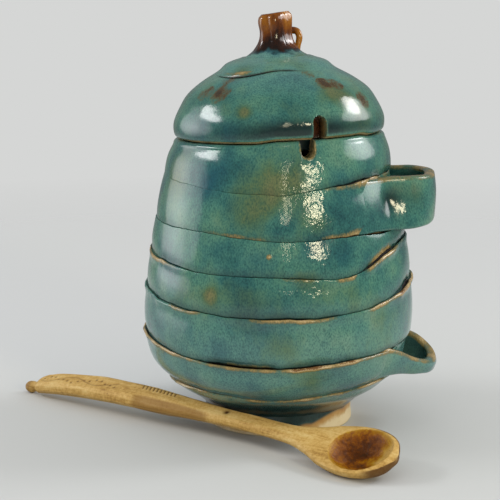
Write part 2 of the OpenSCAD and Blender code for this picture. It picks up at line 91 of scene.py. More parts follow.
class Slot(Enum):
    """What each finish is for."""

    FOOT = "bare_clay"
    WALL = "pot_glaze"
    LOOP = "loop_glaze"
    LID = "lid_glaze"
    STEM = "amber_glaze"
    SPOON = "spoon_wood"


class Outline(Enum):
    """Outline of a lamp."""

    ROUND = "ELLIPSE"
    SQUARE = "RECTANGLE"


# ---- curves and noise ----


def curve(rows: Rows, x: Array) -> Array:
    """Smooth curve through rows, with each slope taken from the rows beside it.

    Args:
        rows: Rows of x and one or more values.
        x: Places to read, of any shape.

    Returns:
        The values, in one more dimension than x where a row has more than one.
    """
    table = np.asarray(rows, float)
    xs, vs = table[:, 0], table[:, 1:]
    order = np.arange(len(xs))
    before, after = np.maximum(order - 1, 0), np.minimum(order + 1, len(xs) - 1)
    slopes = (vs[after] - vs[before]) / (xs[after] - xs[before])[:, None]
    x = np.asarray(x, float)
    i = np.clip(np.searchsorted(xs, x, side="right") - 1, 0, len(xs) - 2)
    h = (xs[i + 1] - xs[i])[..., None]
    u = (x - xs[i])[..., None] / h
    out = (
        (2 * u**3 - 3 * u**2 + 1) * vs[i]
        + (u**3 - 2 * u**2 + u) * h * slopes[i]
        + (3 * u**2 - 2 * u**3) * vs[i + 1]
        + (u**3 - u**2) * h * slopes[i + 1]
    )
    return out[..., 0] if vs.shape[1] == 1 else out


def ring_curve(values: tuple[float, ...], az: Array) -> Array:
    """Smooth closed curve through values spaced evenly round the circle.

    Args:
        values: The values, the first of them at azimuth 0.
        az: Azimuths to read, in degrees.

    Returns:
        One value for each azimuth.
    """
    v, n = np.asarray(values, float), len(values)
    s = np.mod(az, 360.0) * n / 360
    i = np.floor(s).astype(int)
    u = s - i
    a, b, c, d = (v[(i + k) % n] for k in (-1, 0, 1, 2))
    return b + u * ((c - a) / 2 + u * (a - 2.5 * b + 2 * c - d / 2 + u * (1.5 * (b - c) + (d - a) / 2)))


def around(rows: Rows, az: Array) -> Array:
    """Straight-line reading, round the circle, of rows of azimuth and value."""
    xs, vs = zip(*rows)
    return np.interp(az, xs, vs, period=360)


def ease(x: Array) -> Array:
    """Smooth step from 0 at x = 0 to 1 at x = 1."""
    t = np.clip(x, 0, 1)
    return t * t * (3 - 2 * t)


def bell(x: Array, width: float) -> Array:
    """Rounded bump that is 1 at x = 0 and falls off over width."""
    return np.exp(-((x / width) ** 2))


def at(az: Array, r: Array, z: Array) -> Array:
    """Points at azimuths in degrees, radii and heights."""
    az, r, z = np.broadcast_arrays(np.radians(az), r, z)
    return np.stack([r * np.sin(az), -r * np.cos(az), z], axis=-1)


def lumps(points: Array, size: float, seed: int) -> Array:
    """Smooth noise from -1 to 1, the same on every run.

    Args:
        points: Points in millimetres, in the last dimension.
        size: Size of one lump in millimetres.
        seed: Number of the pattern.

    Returns:
        One value for each point.
    """
    side = 32
    lattice = np.random.default_rng(seed).uniform(-1, 1, (side,) * 3)
    place = points / size + side * 8.37
    cell = np.floor(place).astype(int)
    f = place - cell
    f = f * f * f * (f * (f * 6 - 15) + 10)
    total = np.zeros(points.shape[:-1])
    for step in itertools.product((0, 1), repeat=3):
        i, j, k = np.moveaxis((cell + step) % side, -1, 0)
        total += np.prod(np.where(step, f, 1 - f), axis=-1) * lattice[i, j, k]
    return total


def spaced(n: int, tight: float = 1.0) -> Array:
    """Places from 0 to 1, drawn together at both ends by tight, from 0 to 1."""
    t = np.linspace(0, 1, n)
    return (1 - tight) * t + tight * (1 - np.cos(np.pi * t)) / 2


# ---- meshes ----


@dataclass
class Loft:
    """Sections of points that run one after the other, with a mask value at each point."""

    points: Array  # sections x points x 3
    masks: dict[Mask, Array] = field(default_factory=dict)
    ring: bool = True  # the last section joins the first
    closed: bool = True  # each section joins itself
    extra: dict[str, Array] = field(default_factory=dict)  # named vectors at the points

    def mesh(self, name: str) -> bpy.types.Mesh:
        """Makes the closed mesh, with fans where a row or a section stays open.

        Args:
            name: Name of the mesh.

        Returns:
            The mesh, in metres, with its masks as attributes.
        """
        n, m = self.points.shape[:2]
        index = np.arange(n * m).reshape(n, m)
        rows = index if not self.ring else np.vstack([index, index[:1]])
        grid = rows if not self.closed else np.hstack([rows, rows[:, :1]])
        quads = np.stack([grid[:-1, :-1], grid[:-1, 1:], grid[1:, 1:], grid[1:, :-1]], axis=-1)
        faces = quads.reshape(-1, 4).tolist()
        rims = [] if self.ring else [index[0], index[-1]]
        rims += [] if self.closed else [index[:, 0], index[:, -1]]
        values = [self.points.reshape(-1, 3)]
        for k, rim in enumerate(rims):
            values.append(values[0][rim].mean(axis=0, keepdims=True))
            turn = np.append(rim, rim[:1]) if (self.closed or self.ring) else rim
            faces += [[int(a), int(b), n * m + k] for a, b in zip(turn[:-1], turn[1:])]
        mesh = bpy.data.meshes.new(name)
        mesh.from_pydata((np.vstack(values) * MM).tolist(), [], faces)
        for label, data in [(k.value, v) for k, v in self.masks.items()] + list(self.extra.items()):
            flat = np.broadcast_to(data, (n, m) + np.shape(data)[2:]).reshape(n * m, -1)
            flat = np.vstack([flat] + [flat[rim].mean(axis=0, keepdims=True) for rim in rims])
            kind, slot = ("FLOAT", "value") if flat.shape[1] == 1 else ("FLOAT_VECTOR", "vector")
            attribute = mesh.attributes.new(label, kind, "POINT")
            attribute.data.foreach_set(slot, flat.astype(np.float32).ravel())
        body = bmesh.new()
        body.from_mesh(mesh)
        bmesh.ops.recalc_face_normals(body, faces=body.faces)
        body.to_mesh(mesh)
        body.free()
        mesh.shade_smooth()
        mesh.set_sharp_from_angle(angle=math.radians(58))
        return mesh


@dataclass
class Piece:
    """A finished piece, and what it stands for."""

    name: str
    loft: Loft
    finish: bpy.types.Material
    body: Body
    slot: Slot
    nodes: tuple[str, ...]

    def place(self) -> bpy.types.Object:
        """Links the piece into the scene on its body, in place of its nodes.

        Returns:
            The new object.
        """
        obj = bpy.data.objects.new(self.name, self.loft.mesh(self.name))
        obj.data.materials.append(self.finish)
        bpy.context.scene.collection.objects.link(obj)
        weighted = obj.modifiers.new("area_normals", "WEIGHTED_NORMAL")
        weighted.keep_sharp = True
        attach(obj, self.body.value)
        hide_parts(*self.nodes)
        LOG.info("%s: %d points, stands for %s", self.name, len(obj.data.vertices), self.nodes)
        return obj


# ---- finishes ----


def linear(code: str) -> tuple[float, float, float, float]:
    """Turns an sRGB colour to linear light.

    Args:
        code: Six hex digits, such as "3f7f78".

    Returns:
        Linear red, green and blue, and an alpha of 1.
    """
    parts = [int(code[i : i + 2], 16) / 255 for i in (0, 2, 4)]
    r, g, b = (c / 12.92 if c <= 0.04045 else ((c + 0.055) / 1.055) ** 2.4 for c in parts)
    return (r, g, b, 1.0)


def per(size: float) -> float:
    """Texture scale, in metres, for features of a size in millimetres."""
    return 1 / (size * MM)


class Graph:
    """The nodes of a material or a world."""

    def __init__(self, owner: bpy.types.Material | bpy.types.World) -> None:
        """Empties the owner's node tree.

        Args:
            owner: The material or world that the nodes are for.
        """
        self.owner = owner
        owner.use_nodes = True
        self.tree = owner.node_tree
        self.tree.nodes.clear()

    def add(
        self, kind: str, *inputs: Any, named: dict[str, Any] | None = None, **settings: Any
    ) -> bpy.types.Node:
        """Adds a node with its settings and links.

        Args:
            kind: The node's type, without the leading ShaderNode.
            *inputs: Values for the inputs in use, in their order. A value is a number, a
                vector, a hex colour, an output, or a node for its first output in use.
            named: Values for inputs by name.
            **settings: Properties of the node; stops are the rows of a colour ramp.

        Returns:
            The new node.
        """
        node = self.tree.nodes.new("ShaderNode" + kind)
        stops = settings.pop("stops", ())
        for key, value in settings.items():
            setattr(node, key, value)
        for _ in stops[2:]:
            node.color_ramp.elements.new(0.5)
        for element, (place, colour) in zip(node.color_ramp.elements if stops else (), stops):
            element.position, element.color = place, linear(colour)
        pairs = list(zip([socket for socket in node.inputs if socket.enabled], inputs))
        pairs += [(node.inputs[key], value) for key, value in (named or {}).items()]
        for socket, value in pairs:
            if isinstance(value, bpy.types.Node):
                value = next(output for output in value.outputs if output.enabled)
            if isinstance(value, bpy.types.NodeSocket):
                self.tree.links.new(value, socket)
            else:
                socket.default_value = linear(value) if isinstance(value, str) else value
        return node

    def weigh(self, *terms: tuple[Any, float], offset: float) -> Any:
        """Sums values, each times its weight.

        Args:
            *terms: Pairs of a value and its weight.
            offset: What the sum starts from.

        Returns:
            The last node of the sum.
        """
        total: Any = offset
        for value, weight in terms:
            total = self.add("Math", value, weight, total, operation="MULTIPLY_ADD")
        return total

    def coats(self, base: Any, *rows: tuple[Any, float, float, float, float, Any]) -> Any:
        """Lays colours over a base, one after the other.

        Args:
            base: The colour below.
            *rows: What decides each coat, the two values between which it comes in, its
                share at each of them, and its colour.

        Returns:
            The last mix of colours.
        """
        for source, low, high, start, end, colour in rows:
            share = self.add("MapRange", source, low, high, start, end)
            base = self.add("Mix", share, base, colour, data_type="RGBA")
        return base


Stops = tuple[tuple[float, str], ...]


@dataclass(frozen=True)
class BrushedGlaze:
    """Copper-green reactive stoneware glaze, brushed on thick and fired glossy.

    The eye gets clouds of teal, green and olive with a fine grain, glaze that breaks to
    ochre and brown where it runs thin over an edge, and near-black painted shade in the seams
    and hollows.
    """

    name: str = "reactive_glaze_brushed_on_stoneware"
    clouds: Stops = (
        (0.26, "1b484e"),
        (0.4, "2e6360"),
        (0.52, "43786c"),
        (0.62, "52836f"),
        (0.78, "6d9079"),
    )
    olive: str = "50653c"
    tan: str = "877a50"
    blue: str = "1b5665"
    pale: str = "7fa8a6"
    vein: str = "14302e"
    speck: str = "12312f"
    deep: str = "0a1e20"
    # Painted shade: near black in the open seams and under the lid's lapped edge
    seam_shade: str = "120c08"
    thin: Stops = (
        (0.0, "4e6142"),
        (0.3, "5f6440"),
        (0.5, "7b6c42"),
        (0.68, "9c8656"),
        (0.86, "bba57a"),
        (1.0, "73502a"),
    )
    rust: Stops = ((0.0, "565c36"), (0.25, "5a4620"), (0.55, "44290e"), (0.85, "2a1506"))
    brown: Stops = ((0.2, "180800"), (0.38, "321400"), (0.54, "582a00"), (0.72, "784200"), (1.0, "9c6414"))
    clay: Stops = ((0.2, "a8742e"), (0.45, "c29a58"), (0.66, "e2cfa6"))
    # Sizes in millimetres
    cloud_size: float = 24.0
    stroke_size: float = 8.0
    grain_size: float = 0.55  # drawn a little coarser than the real crystals
    crackle_size: float = 3.0
    run_size: float = 4.2
    wrinkle_size: float = 2.6
    wave_height: float = 0.13
    wrinkle_height: float = 0.36
    break_up: float = 0.55  # how far each noise is broken up by finer noise
    ior: float = 1.52

    def build(self) -> bpy.types.Material:
        """Makes the material.

        Returns:
            The glaze over its clay, driven by the masks.
        """
        g = Graph(bpy.data.materials.new(self.name))
        masks = {m: g.add("Attribute", attribute_name=m.value).outputs["Fac"] for m in Mask}
        place = g.add("TexCoord").outputs["Object"]
        upright = g.add("Mapping", named={"Vector": place, "Scale": (1, 1, 0.6)})
        bark = g.add("Mapping", named={"Vector": place, "Scale": (1, 1, 0.35)})
        clouds = g.add("TexNoise", place, per(self.cloud_size), 3.0, self.break_up)
        strokes = g.add("TexNoise", upright, per(self.stroke_size), 4.0, self.break_up)
        grains = g.add("TexNoise", upright, per(self.grain_size), 2.0, self.break_up)
        runs = g.add("TexNoise", bark, per(self.run_size), 3.0, self.break_up)
        soil = g.add("TexNoise", place, per(3.0), 4.0, self.break_up)
        ripple = g.add("TexNoise", place, per(self.wrinkle_size), 3.0, self.break_up)
        cells = g.add("TexVoronoi", place, per(self.crackle_size), feature="DISTANCE_TO_EDGE")
        # Clouds, broken up by the brush and by the grain
        mottle = g.weigh((clouds, 1.0), (strokes, 0.35), (grains, 0.25), offset=-0.3)
        base = g.add("ValToRGB", mottle, stops=self.clouds)
        # Paler low on the pot, a painted lift standing in for light bounced up from the floor, and paler on
        # top of the lid
        height = g.add("SeparateXYZ", place).outputs["Z"]
        near_foot = g.add("MapRange", height, 0.066, 0.034, 0, 0.25)
        near_top = g.add("MapRange", height, 0.138, 0.15, 0, 0.3)
        pale = g.add("Math", near_foot, near_top, operation="ADD")
        warmth = g.weigh((masks[Mask.TINT], 1.0), (strokes, 0.8), (grains, 0.35), offset=-0.575)
        # Dark where the glaze pools thick, and painted shade in hollows, low on the pot and inside it
        pool_and_shade = g.weigh((masks[Mask.THICK], 1.0), (strokes, 0.5), offset=-0.27)
        # Iron patches, ragged at their limits and drawn out downwards
        near = g.add("MapRange", masks[Mask.RUST], 0.04, 0.3, -1, 0)
        ragged = g.weigh((masks[Mask.RUST], 1.0), (runs, 1.5), (grains, 1.0), (near, 1.0), offset=-1.4)
        iron = g.add("ValToRGB", ragged, stops=self.rust)
        # Glaze run thin over edges: the colour follows how thin it is, with a ragged limit
        ready = g.add("MapRange", masks[Mask.EDGE], 0, 0.3, -0.5, 0)
        worn = g.weigh((masks[Mask.EDGE], 1.0), (strokes, 0.9), (grains, 0.7), (ready, 1.0), offset=-0.8)
        thin = g.add("ValToRGB", worn, stops=self.thin)
        covered = g.add("MapRange", worn, 0.12, 0.55, 0, 1)
        # The stem's brown glaze: orange where it is thin, near black where it has run
        flow = g.weigh((runs, 1.0), (grains, 0.25), (masks[Mask.TINT], 0.3), offset=-0.12)
        brown = g.add("ValToRGB", flow, stops=self.brown)
        earth = g.weigh((soil, 0.4), (masks[Mask.BARE], 0.6), offset=-0.1)
        clay = g.add("ValToRGB", earth, stops=self.clay)
        shown = g.coats(
            base,
            (pale, 0, 1, 0, 1, self.pale),
            (warmth, 0.02, 0.5, 0, 0.8, self.olive),
            (warmth, 0.4, 1, 0, 0.8, self.tan),
            (warmth, -0.15, -0.9, 0, 0.75, self.blue),
            (cells, 0, 0.045, 0.12, 0, self.vein),
            (grains, 0.56, 0.3, 0, 0.42, self.speck),
            # deep: thick glaze and painted shade
            (pool_and_shade, 0.05, 0.95, 0, 0.93, self.deep),
            (ragged, 0.05, 0.4, 0, 0.9, iron),
            (covered, 0, 1, 0, 1, thin),
            (masks[Mask.AMBER], 0, 1, 0, 1, brown),
            # Painted shade: the open seams and the lap line go near black
            (masks[Mask.CREVICE], 0, 1, 0, 1, self.seam_shade),
            (masks[Mask.BARE], 0.1, 0.35, 0, 1, clay),
        )
        # Roughness: glassy where the glaze is thick, dull where it is thin or missing
        dull = g.add("Math", masks[Mask.BARE], masks[Mask.CREVICE], operation="MAXIMUM")
        rough = g.weigh((dull, 0.6), (covered, 0.1), (masks[Mask.CRINKLE], -0.08), offset=0.15)
        # Relief in millimetres: soft brush waves, and fine wrinkles where masked
        wrinkles = g.add(
            "Math", masks[Mask.CRINKLE], self.wrinkle_height, 0.006, operation="MULTIPLY_ADD"
        )
        relief = g.add("Math", ripple, wrinkles, operation="MULTIPLY")
        waves = g.add("Math", strokes, self.wave_height, relief, operation="MULTIPLY_ADD")
        bump = g.add("Bump", named={"Height": waves, "Distance": MM, "Strength": 1.0})
        surface = g.add(
            "BsdfPrincipled",
            named={"Base Color": shown, "Roughness": rough, "IOR": self.ior, "Normal": bump},
        )
        g.add("OutputMaterial", surface)
        return g.owner


@dataclass(frozen=True)
class CarvedWood:
    """Pear wood, cut with a knife and rubbed with oil.

    The eye gets long soft grain with a dull sheen, and honey stain soaked into the bowl.
    """

    name: str = "pear_wood_knife_carved_oiled"
    woods: Stops = ((0.3, "8e6932"), (0.43, "b58f4c"), (0.55, "c8a460"), (0.72, "d7bc7e"))
    honeys: Stops = ((0.1, "b48c20"), (0.32, "9c6a06"), (0.5, "7e4400"), (0.72, "502000"), (0.95, "2c0a00"))
    # Painted shade: the near-side knife facet is drawn darker
    facet: str = "8e6a36"
    # Darker brown on the bowl's outside, at its far side and right end, and at the tip
    dark_outside: str = "4c2a0e"
    # Darker in the cut marks and the knot
    cut_dark: str = "4a2a10"
    # Widths in millimetres, which the grain attribute is in as well
    fibre: float = 0.7
    speck: float = 1.3
    band: float = 4.5
    patch: float = 13.0
    stretch: float = 0.07  # how much slower the grain changes along the spoon
    ior: float = 1.5
    shine: float = 0.15  # the oil has soaked in, so little is mirrored

    def build(self) -> bpy.types.Material:
        """Makes the material.

        Returns:
            The wood, whose grain follows the spoon's own length.
        """
        g = Graph(bpy.data.materials.new(self.name))
        grain = g.add("Attribute", attribute_name="grain").outputs["Vector"]
        masks = {m: g.add("Attribute", attribute_name=m.value).outputs["Fac"] for m in Mask}
        along = g.add("Mapping", named={"Vector": grain, "Scale": (self.stretch, 1, 1)})
        specks = g.add("TexNoise", grain, 1 / self.speck, 3.0, 0.7)
        fibres = g.add("TexNoise", along, 1 / self.fibre, 3.0, 0.6)
        bands = g.add("TexNoise", along, 1 / self.band, 2.0, named={"Distortion": 0.4})
        patches = g.add("TexNoise", grain, 1 / self.patch, 2.0)
        level = g.weigh((fibres, 0.4), (bands, 0.4), (patches, 0.3), (specks, 0.5), offset=-0.3)
        wood = g.add("ValToRGB", level, stops=self.woods)
        honey = g.weigh((masks[Mask.STAIN], 1.0), (patches, 0.5), (specks, 0.8), offset=-0.64)
        amber = g.add("ValToRGB", honey, stops=self.honeys)
        shown = g.coats(
            wood,
            # Painted shade on the near-side facet
            (masks[Mask.TINT], 0.1, 0.6, 0, 0.75, self.facet),
            (masks[Mask.STAIN], 0.05, 0.25, 0, 0.96, amber),
            (masks[Mask.EDGE], 0.1, 0.9, 0, 0.85, self.dark_outside),
            (masks[Mask.CUT], 0, 1, 0, 1, self.cut_dark),
        )
        rough = g.add("MapRange", masks[Mask.STAIN], 0, 0.4, 0.55, 0.27)
        sticky = g.add("Math", masks[Mask.STAIN], 0.9, 0.07, operation="MULTIPLY_ADD")
        relief = g.add("Math", specks, sticky, operation="MULTIPLY")
        bump = g.add("Bump", named={"Height": relief, "Distance": MM, "Strength": 0.8})
        sockets = {"Base Color": shown, "Roughness": rough, "Normal": bump}
        surface = g.add(
            "BsdfPrincipled", named=sockets | {"IOR": self.ior, "Specular IOR Level": self.shine}
        )
        g.add("OutputMaterial", surface)
        return g.owner


# ---- the pot ----


@dataclass
class Seam:
    """One wavy seam between two strips."""

    z: float  # height at the front
    rise: tuple[float, ...]  # rise over that height, every 30 degrees
    lip: Rows  # azimuth, how proud the edge below the seam stands
    gap: Rows  # azimuth, how far the seam stands open
    gold: Rows  # azimuth, how thin the glaze runs on the edge below the seam
    hang: Rows = ((0, 0),)  # the same on the edge above it


@dataclass
class Pot:
    """The pot's wall of seven strips, and its foot."""

    foot_r: float = 31.2
    foot_h: float = 8.5
    wall_t: float = 6.0
    rim_z: float = 120.5
    rim_tilt: float = 2.2
    rim_round: float = 1.9
    lip_d: float = 1.5
    swell: float = 0.5
    notch_w: float = 5.4
    notch_h: float = 6.0
    notch_az: float = 14.6
    seat: float = 1.6  # rounding of the rim's inner edge
    roll_in: float = 4.6  # how far strip 3 is rolled under, over the lower strap
    peel: float = 1.7  # how deep the wall is hollowed where a strap leaves it
    peels: ClassVar[dict[int, tuple[float, float]]] = {2: (54, 100), 6: (42, 112)}  # azimuths, by strip
    blister: tuple[float, float] = (-4, 78.5)  # azimuth and height
    columns: int = 480
    wall_line: Rows = (
        (8.5, 31.2), (12.5, 35.2), (18, 43.4), (29, 53.2), (48, 55.8), (83, 51.6), (112, 45.6), (120.5, 42.6),
    )
    seams: tuple[Seam, ...] = (
        Seam(
            19.5,
            (0, 2.5, 4.5, 4.5, 3, 2, 1.5, 1, 0.5, 0.5, 1.5, 1.3),
            ((-90, 0.7), (-55, 1), (-35, 0.9), (-12, 0.6), (10, 0.55), (40, 0.7), (60, 0.7), (150, 0.7)),
            (
                (-90, 0.4), (-55, 0.9), (-35, 0.9), (-12, 0.35), (15, 0.3), (45, 0.5), (60, 0.4),
                (150, 0.5),
            ),
            (
                (-90, 0.5), (-60, 0.7), (-36, 0.6), (-22, 0.35), (-8, 0.55), (50, 0.6), (70, 0.4),
                (150, 0.5),
            ),
            ((-60, 0.3), (-35, 0.3), (-20, 0), (150, 0)),
        ),
        Seam(
            35,
            (0, 1.8, 2.2, 1, 2, 3, 3, 3.5, 4.5, 5, 3, 0.6),
            (
                (-80, 0.7), (-38, 0.6), (-25, 1), (-5, 1), (15, 1), (30, 0.9), (45, 0.5), (52, 0.2),
                (105, 0.1), (150, 0.8),
            ),
            (
                (-80, 0.5), (-38, 0.3), (-26, 1.2), (-4, 1.2), (6, 0.6), (25, 0.45), (45, 0.25),
                (56, 0.9), (100, 0.9), (115, 0.3), (150, 0.6),
            ),
            (
                (-80, 0.7), (-44, 0.75), (-28, 0.5), (-10, 0.5), (0, 0.8), (28, 0.8), (40, 0.5),
                (52, 0.45), (60, 0), (105, 0), (150, 0.6),
            ),
            ((-28, 0), (-20, 0.45), (-4, 0.4), (6, 0), (150, 0)),
        ),
        Seam(
            54.5,
            (0, 0.8, 5.3, 8.5, 6.5, 4.5, 3.5, 4, 4.5, 4.5, 2.5, 0.5),
            (
                (-70, 0.6), (-45, 0.8), (-32, 0.4), (-12, 0.4), (6, 0.8), (18, 1), (28, 0.4), (55, 0.7),
                (68, 1), (150, 0.6),
            ),
            (
                (-70, 0.3), (-45, 0.45), (-32, 0.2), (-12, 0.3), (0, 0.6), (18, 0.6), (28, 0.2),
                (56, 0.25), (65, 0.35), (70, 0.9), (74, 0.9), (79, 0.3), (150, 0.4),
            ),
            (
                (-70, 0.1), (-52, 0.3), (-46, 0.65), (-38, 0.5), (-30, 0.05), (-14, 0.1), (-6, 0.6),
                (16, 0.8), (22, 0.4), (28, 0.1), (38, 0.3), (44, 0.65), (70, 0.7), (150, 0.5),
            ),
        ),
        Seam(
            70.5,
            (0, -1, 7.6, 9.5, 6.5, 3.5, 2, 2.5, 3.5, 3.3, 1.8, -0.2),
            (
                (-70, 0.6), (-48, 0.5), (-25, 0.15), (0, 0.3), (10, 0.5), (20, 0.3), (28, 0.7), (36, 0.3),
                (43, 1), (57, 1), (66, 0.4), (150, 0.5),
            ),
            (
                (-70, 0.3), (-48, 0.25), (-25, 0.2), (0, 0.3), (10, 0.3), (20, 0.15), (34, 0.2),
                (41, 0.8), (56, 0.9), (64, 0.4), (150, 0.4),
            ),
            (
                (-80, 0.6), (-70, 0.8), (-54, 0.7), (-46, 0.15), (-8, 0), (3, 0.35), (12, 0.4),
                (17, 0.05), (22, 0.1), (26, 0.65), (32, 0.6), (36, 0.1), (41, 0.75), (57, 0.75),
                (66, 0.3), (150, 0.4),
            ),
            ((0, 0), (5, 0.3), (12, 0), (38, 0), (44, 0.75), (56, 0.75), (62, 0), (150, 0)),
        ),
        Seam(
            84,
            (0, 0.8, 0.5, 2, 3, 3.5, 4, 4, 3.5, 3, 2.5, 2),
            (
                (-70, 0.1), (0, 0.1), (20, 0.1), (32, 0.1), (48, 0.1), (60, 0.3), (110, 0.3), (125, 0.3),
                (180, 0.2),
            ),
            (
                (-70, 0.12), (-30, 0.15), (0, 0.2), (20, 0.2), (32, 0.5), (48, 0.9), (110, 0.7),
                (125, 0.3), (180, 0.2),
            ),
            ((0, 0), (60, 0), (75, 0.3), (105, 0.3), (120, 0), (180, 0)),
            (
                (-50, 0), (-32, 0.35), (-16, 0.4), (0, 0.15), (18, 0.2), (24, 0.45), (40, 0.55),
                (54, 0.55), (62, 0.2), (110, 0), (180, 0),
            ),
        ),
        Seam(
            101.6,
            (0, 2.9, 4.9, 5.2, 4.9, 4.4, 3.9, 3.4, 3.4, 3.4, 2.4, 0.9),
            (
                (-70, 0.0), (-25, 0.1), (0, 0.05), (14, 0.1), (22, 0.3), (32, 0.7), (45, 0.6), (110, 0.3),
                (125, 0.3), (180, 0.1),
            ),
            (
                (-70, 0.0), (-28, 0.0), (-20, 0.1), (0, 0.08), (14, 0.06), (22, 0.2), (32, 0.6),
                (45, 0.7), (110, 0.6), (125, 0.3), (180, 0.1),
            ),
            (
                (-70, 0), (14, 0), (22, 0.3), (30, 0.5), (54, 0.55), (64, 0.3), (110, 0.3), (125, 0),
                (180, 0),
            ),
        ),
    )
    # Height up to which the clay is bare, by azimuth
    glaze_line: Rows = (
        (-40, 4.2), (0, 4.4), (16, 4.2), (26, 5.0), (36, 6.4), (46, 7.4), (56, 8.2), (75, 8.6), (110, 8.6),
        (140, 6), (200, 3.5), (260, 3.5),
    )
    # Azimuth, height, size and strength of tan (above 0) and deep blue (below 0) patches
    tints: Rows = (
        (-58, 105, 10, 0.45), (-36, 104, 9, -0.75), (-30, 113, 7, -0.5), (-4, 98, 16, 0.5),
        (-18, 96, 9, 0.15), (4, 108, 8, 0.3), (0, 90, 6, -0.6), (30, 106, 9, -0.5), (20, 90, 8, 0.2),
        (-30, 78, 10, -0.4), (-8, 77, 9, -0.8), (14, 78, 8, -0.6), (33, 78, 9, -0.4),
        (-58, 66, 9, -0.5), (-44, 62, 8, 0.3), (-29, 62.6, 3.4, 0.6), (-24, 63, 9, 0.25),
        (-12, 64, 9, 0.25), (11, 71, 6, 0.6), (30, 64, 9, 0.2), (50, 70, 8, -0.3), (-45, 44, 12, -0.5),
        (-22, 40, 8, -0.4), (2, 44, 7, 0.3), (22, 46, 9, -0.35), (48, 50, 9, 0.25), (-40, 26, 7, -0.6),
        (-8, 24, 9, -0.6), (14, 29, 6, 0.4), (34, 25, 8, -0.5), (150, 60, 14, -0.5),
        (-150, 90, 14, 0.5), (-110, 50, 14, -0.5), (110, 70, 12, 0.4),
    )

    def radius(self, z: Array) -> Array:
        """Outer radius of the smooth wall."""
        return curve(self.wall_line, z)

    def inner(self, z: Array) -> Array:
        """Inner radius, one wall thickness in from the outer surface.

        Args:
            z: Heights.

        Returns:
            Radii.
        """
        step = 0.5
        lean = (self.radius(z + step / 2) - self.radius(z - step / 2)) / step
        return self.radius(z) - self.wall_t * np.sqrt(1 + lean * lean)

    def seam(self, k: int, az: Array) -> Array:
        """Height of seam k, with the small wobble of a hand-pressed edge.

        Args:
            k: Seam number; 0 is the foot's top and 7 the rim.
            az: Azimuths in degrees.

        Returns:
            Heights in millimetres.
        """
        if k in (0, 7):
            return np.full(np.shape(az), self.foot_h if k == 0 else self.rim_z)
        seam = self.seams[k - 1]
        circle = at(az, 50.0, 30.0 * k)
        wobble = 0.3 * lumps(circle, 9.0, 11) + 0.16 * lumps(circle, 3.2, 12)
        return seam.z + ring_curve(seam.rise, az) + wobble

    def share(self, k: int, az: Array, trait: Trait) -> Array:
        """Reads one trait of seam k, with a hand's unevenness.

        Args:
            k: Seam number; the foot's top and the rim have no traits.
            az: Azimuths in degrees.
            trait: Which of the seam's tables to read.

        Returns:
            One value for each azimuth.
        """
        if k in (0, 7):
            return np.zeros(np.shape(az))
        circle = at(az, 50.0, 30.0 * k + (7 if trait is Trait.LIP else 0))
        uneven = 1 + 0.35 * lumps(circle, 6.0, 13) + 0.2 * lumps(circle, 2.4, 14)
        return around(getattr(self.seams[k - 1], trait.value), az) * np.clip(uneven, 0.3, 1.6)

    def dent(self, points: Array) -> Array:
        """How far hands and tools have pushed the wall in or out at points."""
        broad, middle = lumps(points, 33.0, 21), lumps(points, 13.0, 22)
        return 0.34 * broad + 0.15 * middle + 0.05 * lumps(points, 5.0, 23)

    def notched(self, az: Array, r: Array, z: Array) -> tuple[Array, Array]:
        """Lowers the rim in the notch.

        Args:
            az: Azimuths.
            r: Radii.
            z: Heights before the notch is pressed in.

        Returns:
            The heights after it, and how near each point is to the notch's outline.
        """
        across = r * np.sin(np.radians(az - self.notch_az))
        front = np.cos(np.radians(az - self.notch_az)) > 0
        half = self.notch_w / 2
        inside = np.clip(1 - (across / half) ** 2, 0, None)
        straight = (self.notch_h - half) * ease((half + 0.25 - abs(across)) / 0.5)
        depth = np.where(front, straight + half * np.sqrt(inside), 0)
        give = np.clip((z - (self.rim_z - 12)) / 12, 0, 1)
        sunk = z - depth * give
        low = self.rim_z - self.notch_h + half
        away = np.hypot(across, np.minimum(sunk - low, 0)) - half
        near = np.where(front, bell(np.maximum(away, 0), 1.0) * (sunk > self.rim_z - 12), 0)
        return sunk, near

    def lift(self, az: Array) -> Array:
        """Height by which the rim, and the lid on it, wave up at the front right."""
        az = (az + 180) % 360 - 180
        return 0.9 * ease((az + 14) / 14) * ease((60 - az) / 12)

    def bare(self, az: Array, z: Array) -> Array:
        """Tells where the clay has no glaze.

        Args:
            az: Azimuths.
            z: Heights.

        Returns:
            1 where it is bare, falling to 0 over the glaze's ragged line.
        """
        circle = at(az, 30.0, z)
        line = around(self.glaze_line, az) + 0.7 * lumps(circle, 5.0, 31)
        return np.clip((line - z) / 5 + 0.2, 0, 1)

    def azimuths(self, k: int) -> Array:
        """Columns of strip k, closer together at the rim's notch.

        Args:
            k: The strip's number.

        Returns:
            Azimuths, as one column.
        """
        az = np.arange(self.columns) * 360 / self.columns
        if k == 7:
            near = abs(az - self.notch_az) < 5.2
            az = np.sort(np.append(az[~near], self.notch_az + np.arange(-5.2, 5.21, 0.2)))
        return az[:, None]

    def strip(self, k: int) -> Loft:
        """One strip of the wall as a closed ring.

        Args:
            k: Its number, from 1 at the foot to 7 at the rim.

        Returns:
            The ring, whose sections run up the outside, over the top, down the inside and
            out along the bed.
        """
        az = self.azimuths(k)
        low, high = self.seam(k - 1, az), self.seam(k, az)
        lip, gap = self.lip_d * self.share(k, az, Trait.LIP), self.share(k, az, Trait.GAP)
        tuck = self.share(k - 1, az, Trait.GAP)
        bed_r, top_r = 0.12 + 1.0 * tuck, 0.12 + 0.5 * lip
        if k == 3:
            bed_r = bed_r + self.roll_in * bell(az - 86, 20)
        if k == 7:
            top_r = np.full_like(top_r, self.rim_round)
        # A strap takes its clay from the wall, which leaves a hollow behind it
        root, far = self.peels.get(k, (0, 0))
        hollow = self.peel * ease((az - root) / 10) * ease((far - az) / 7) if far else 0 * az

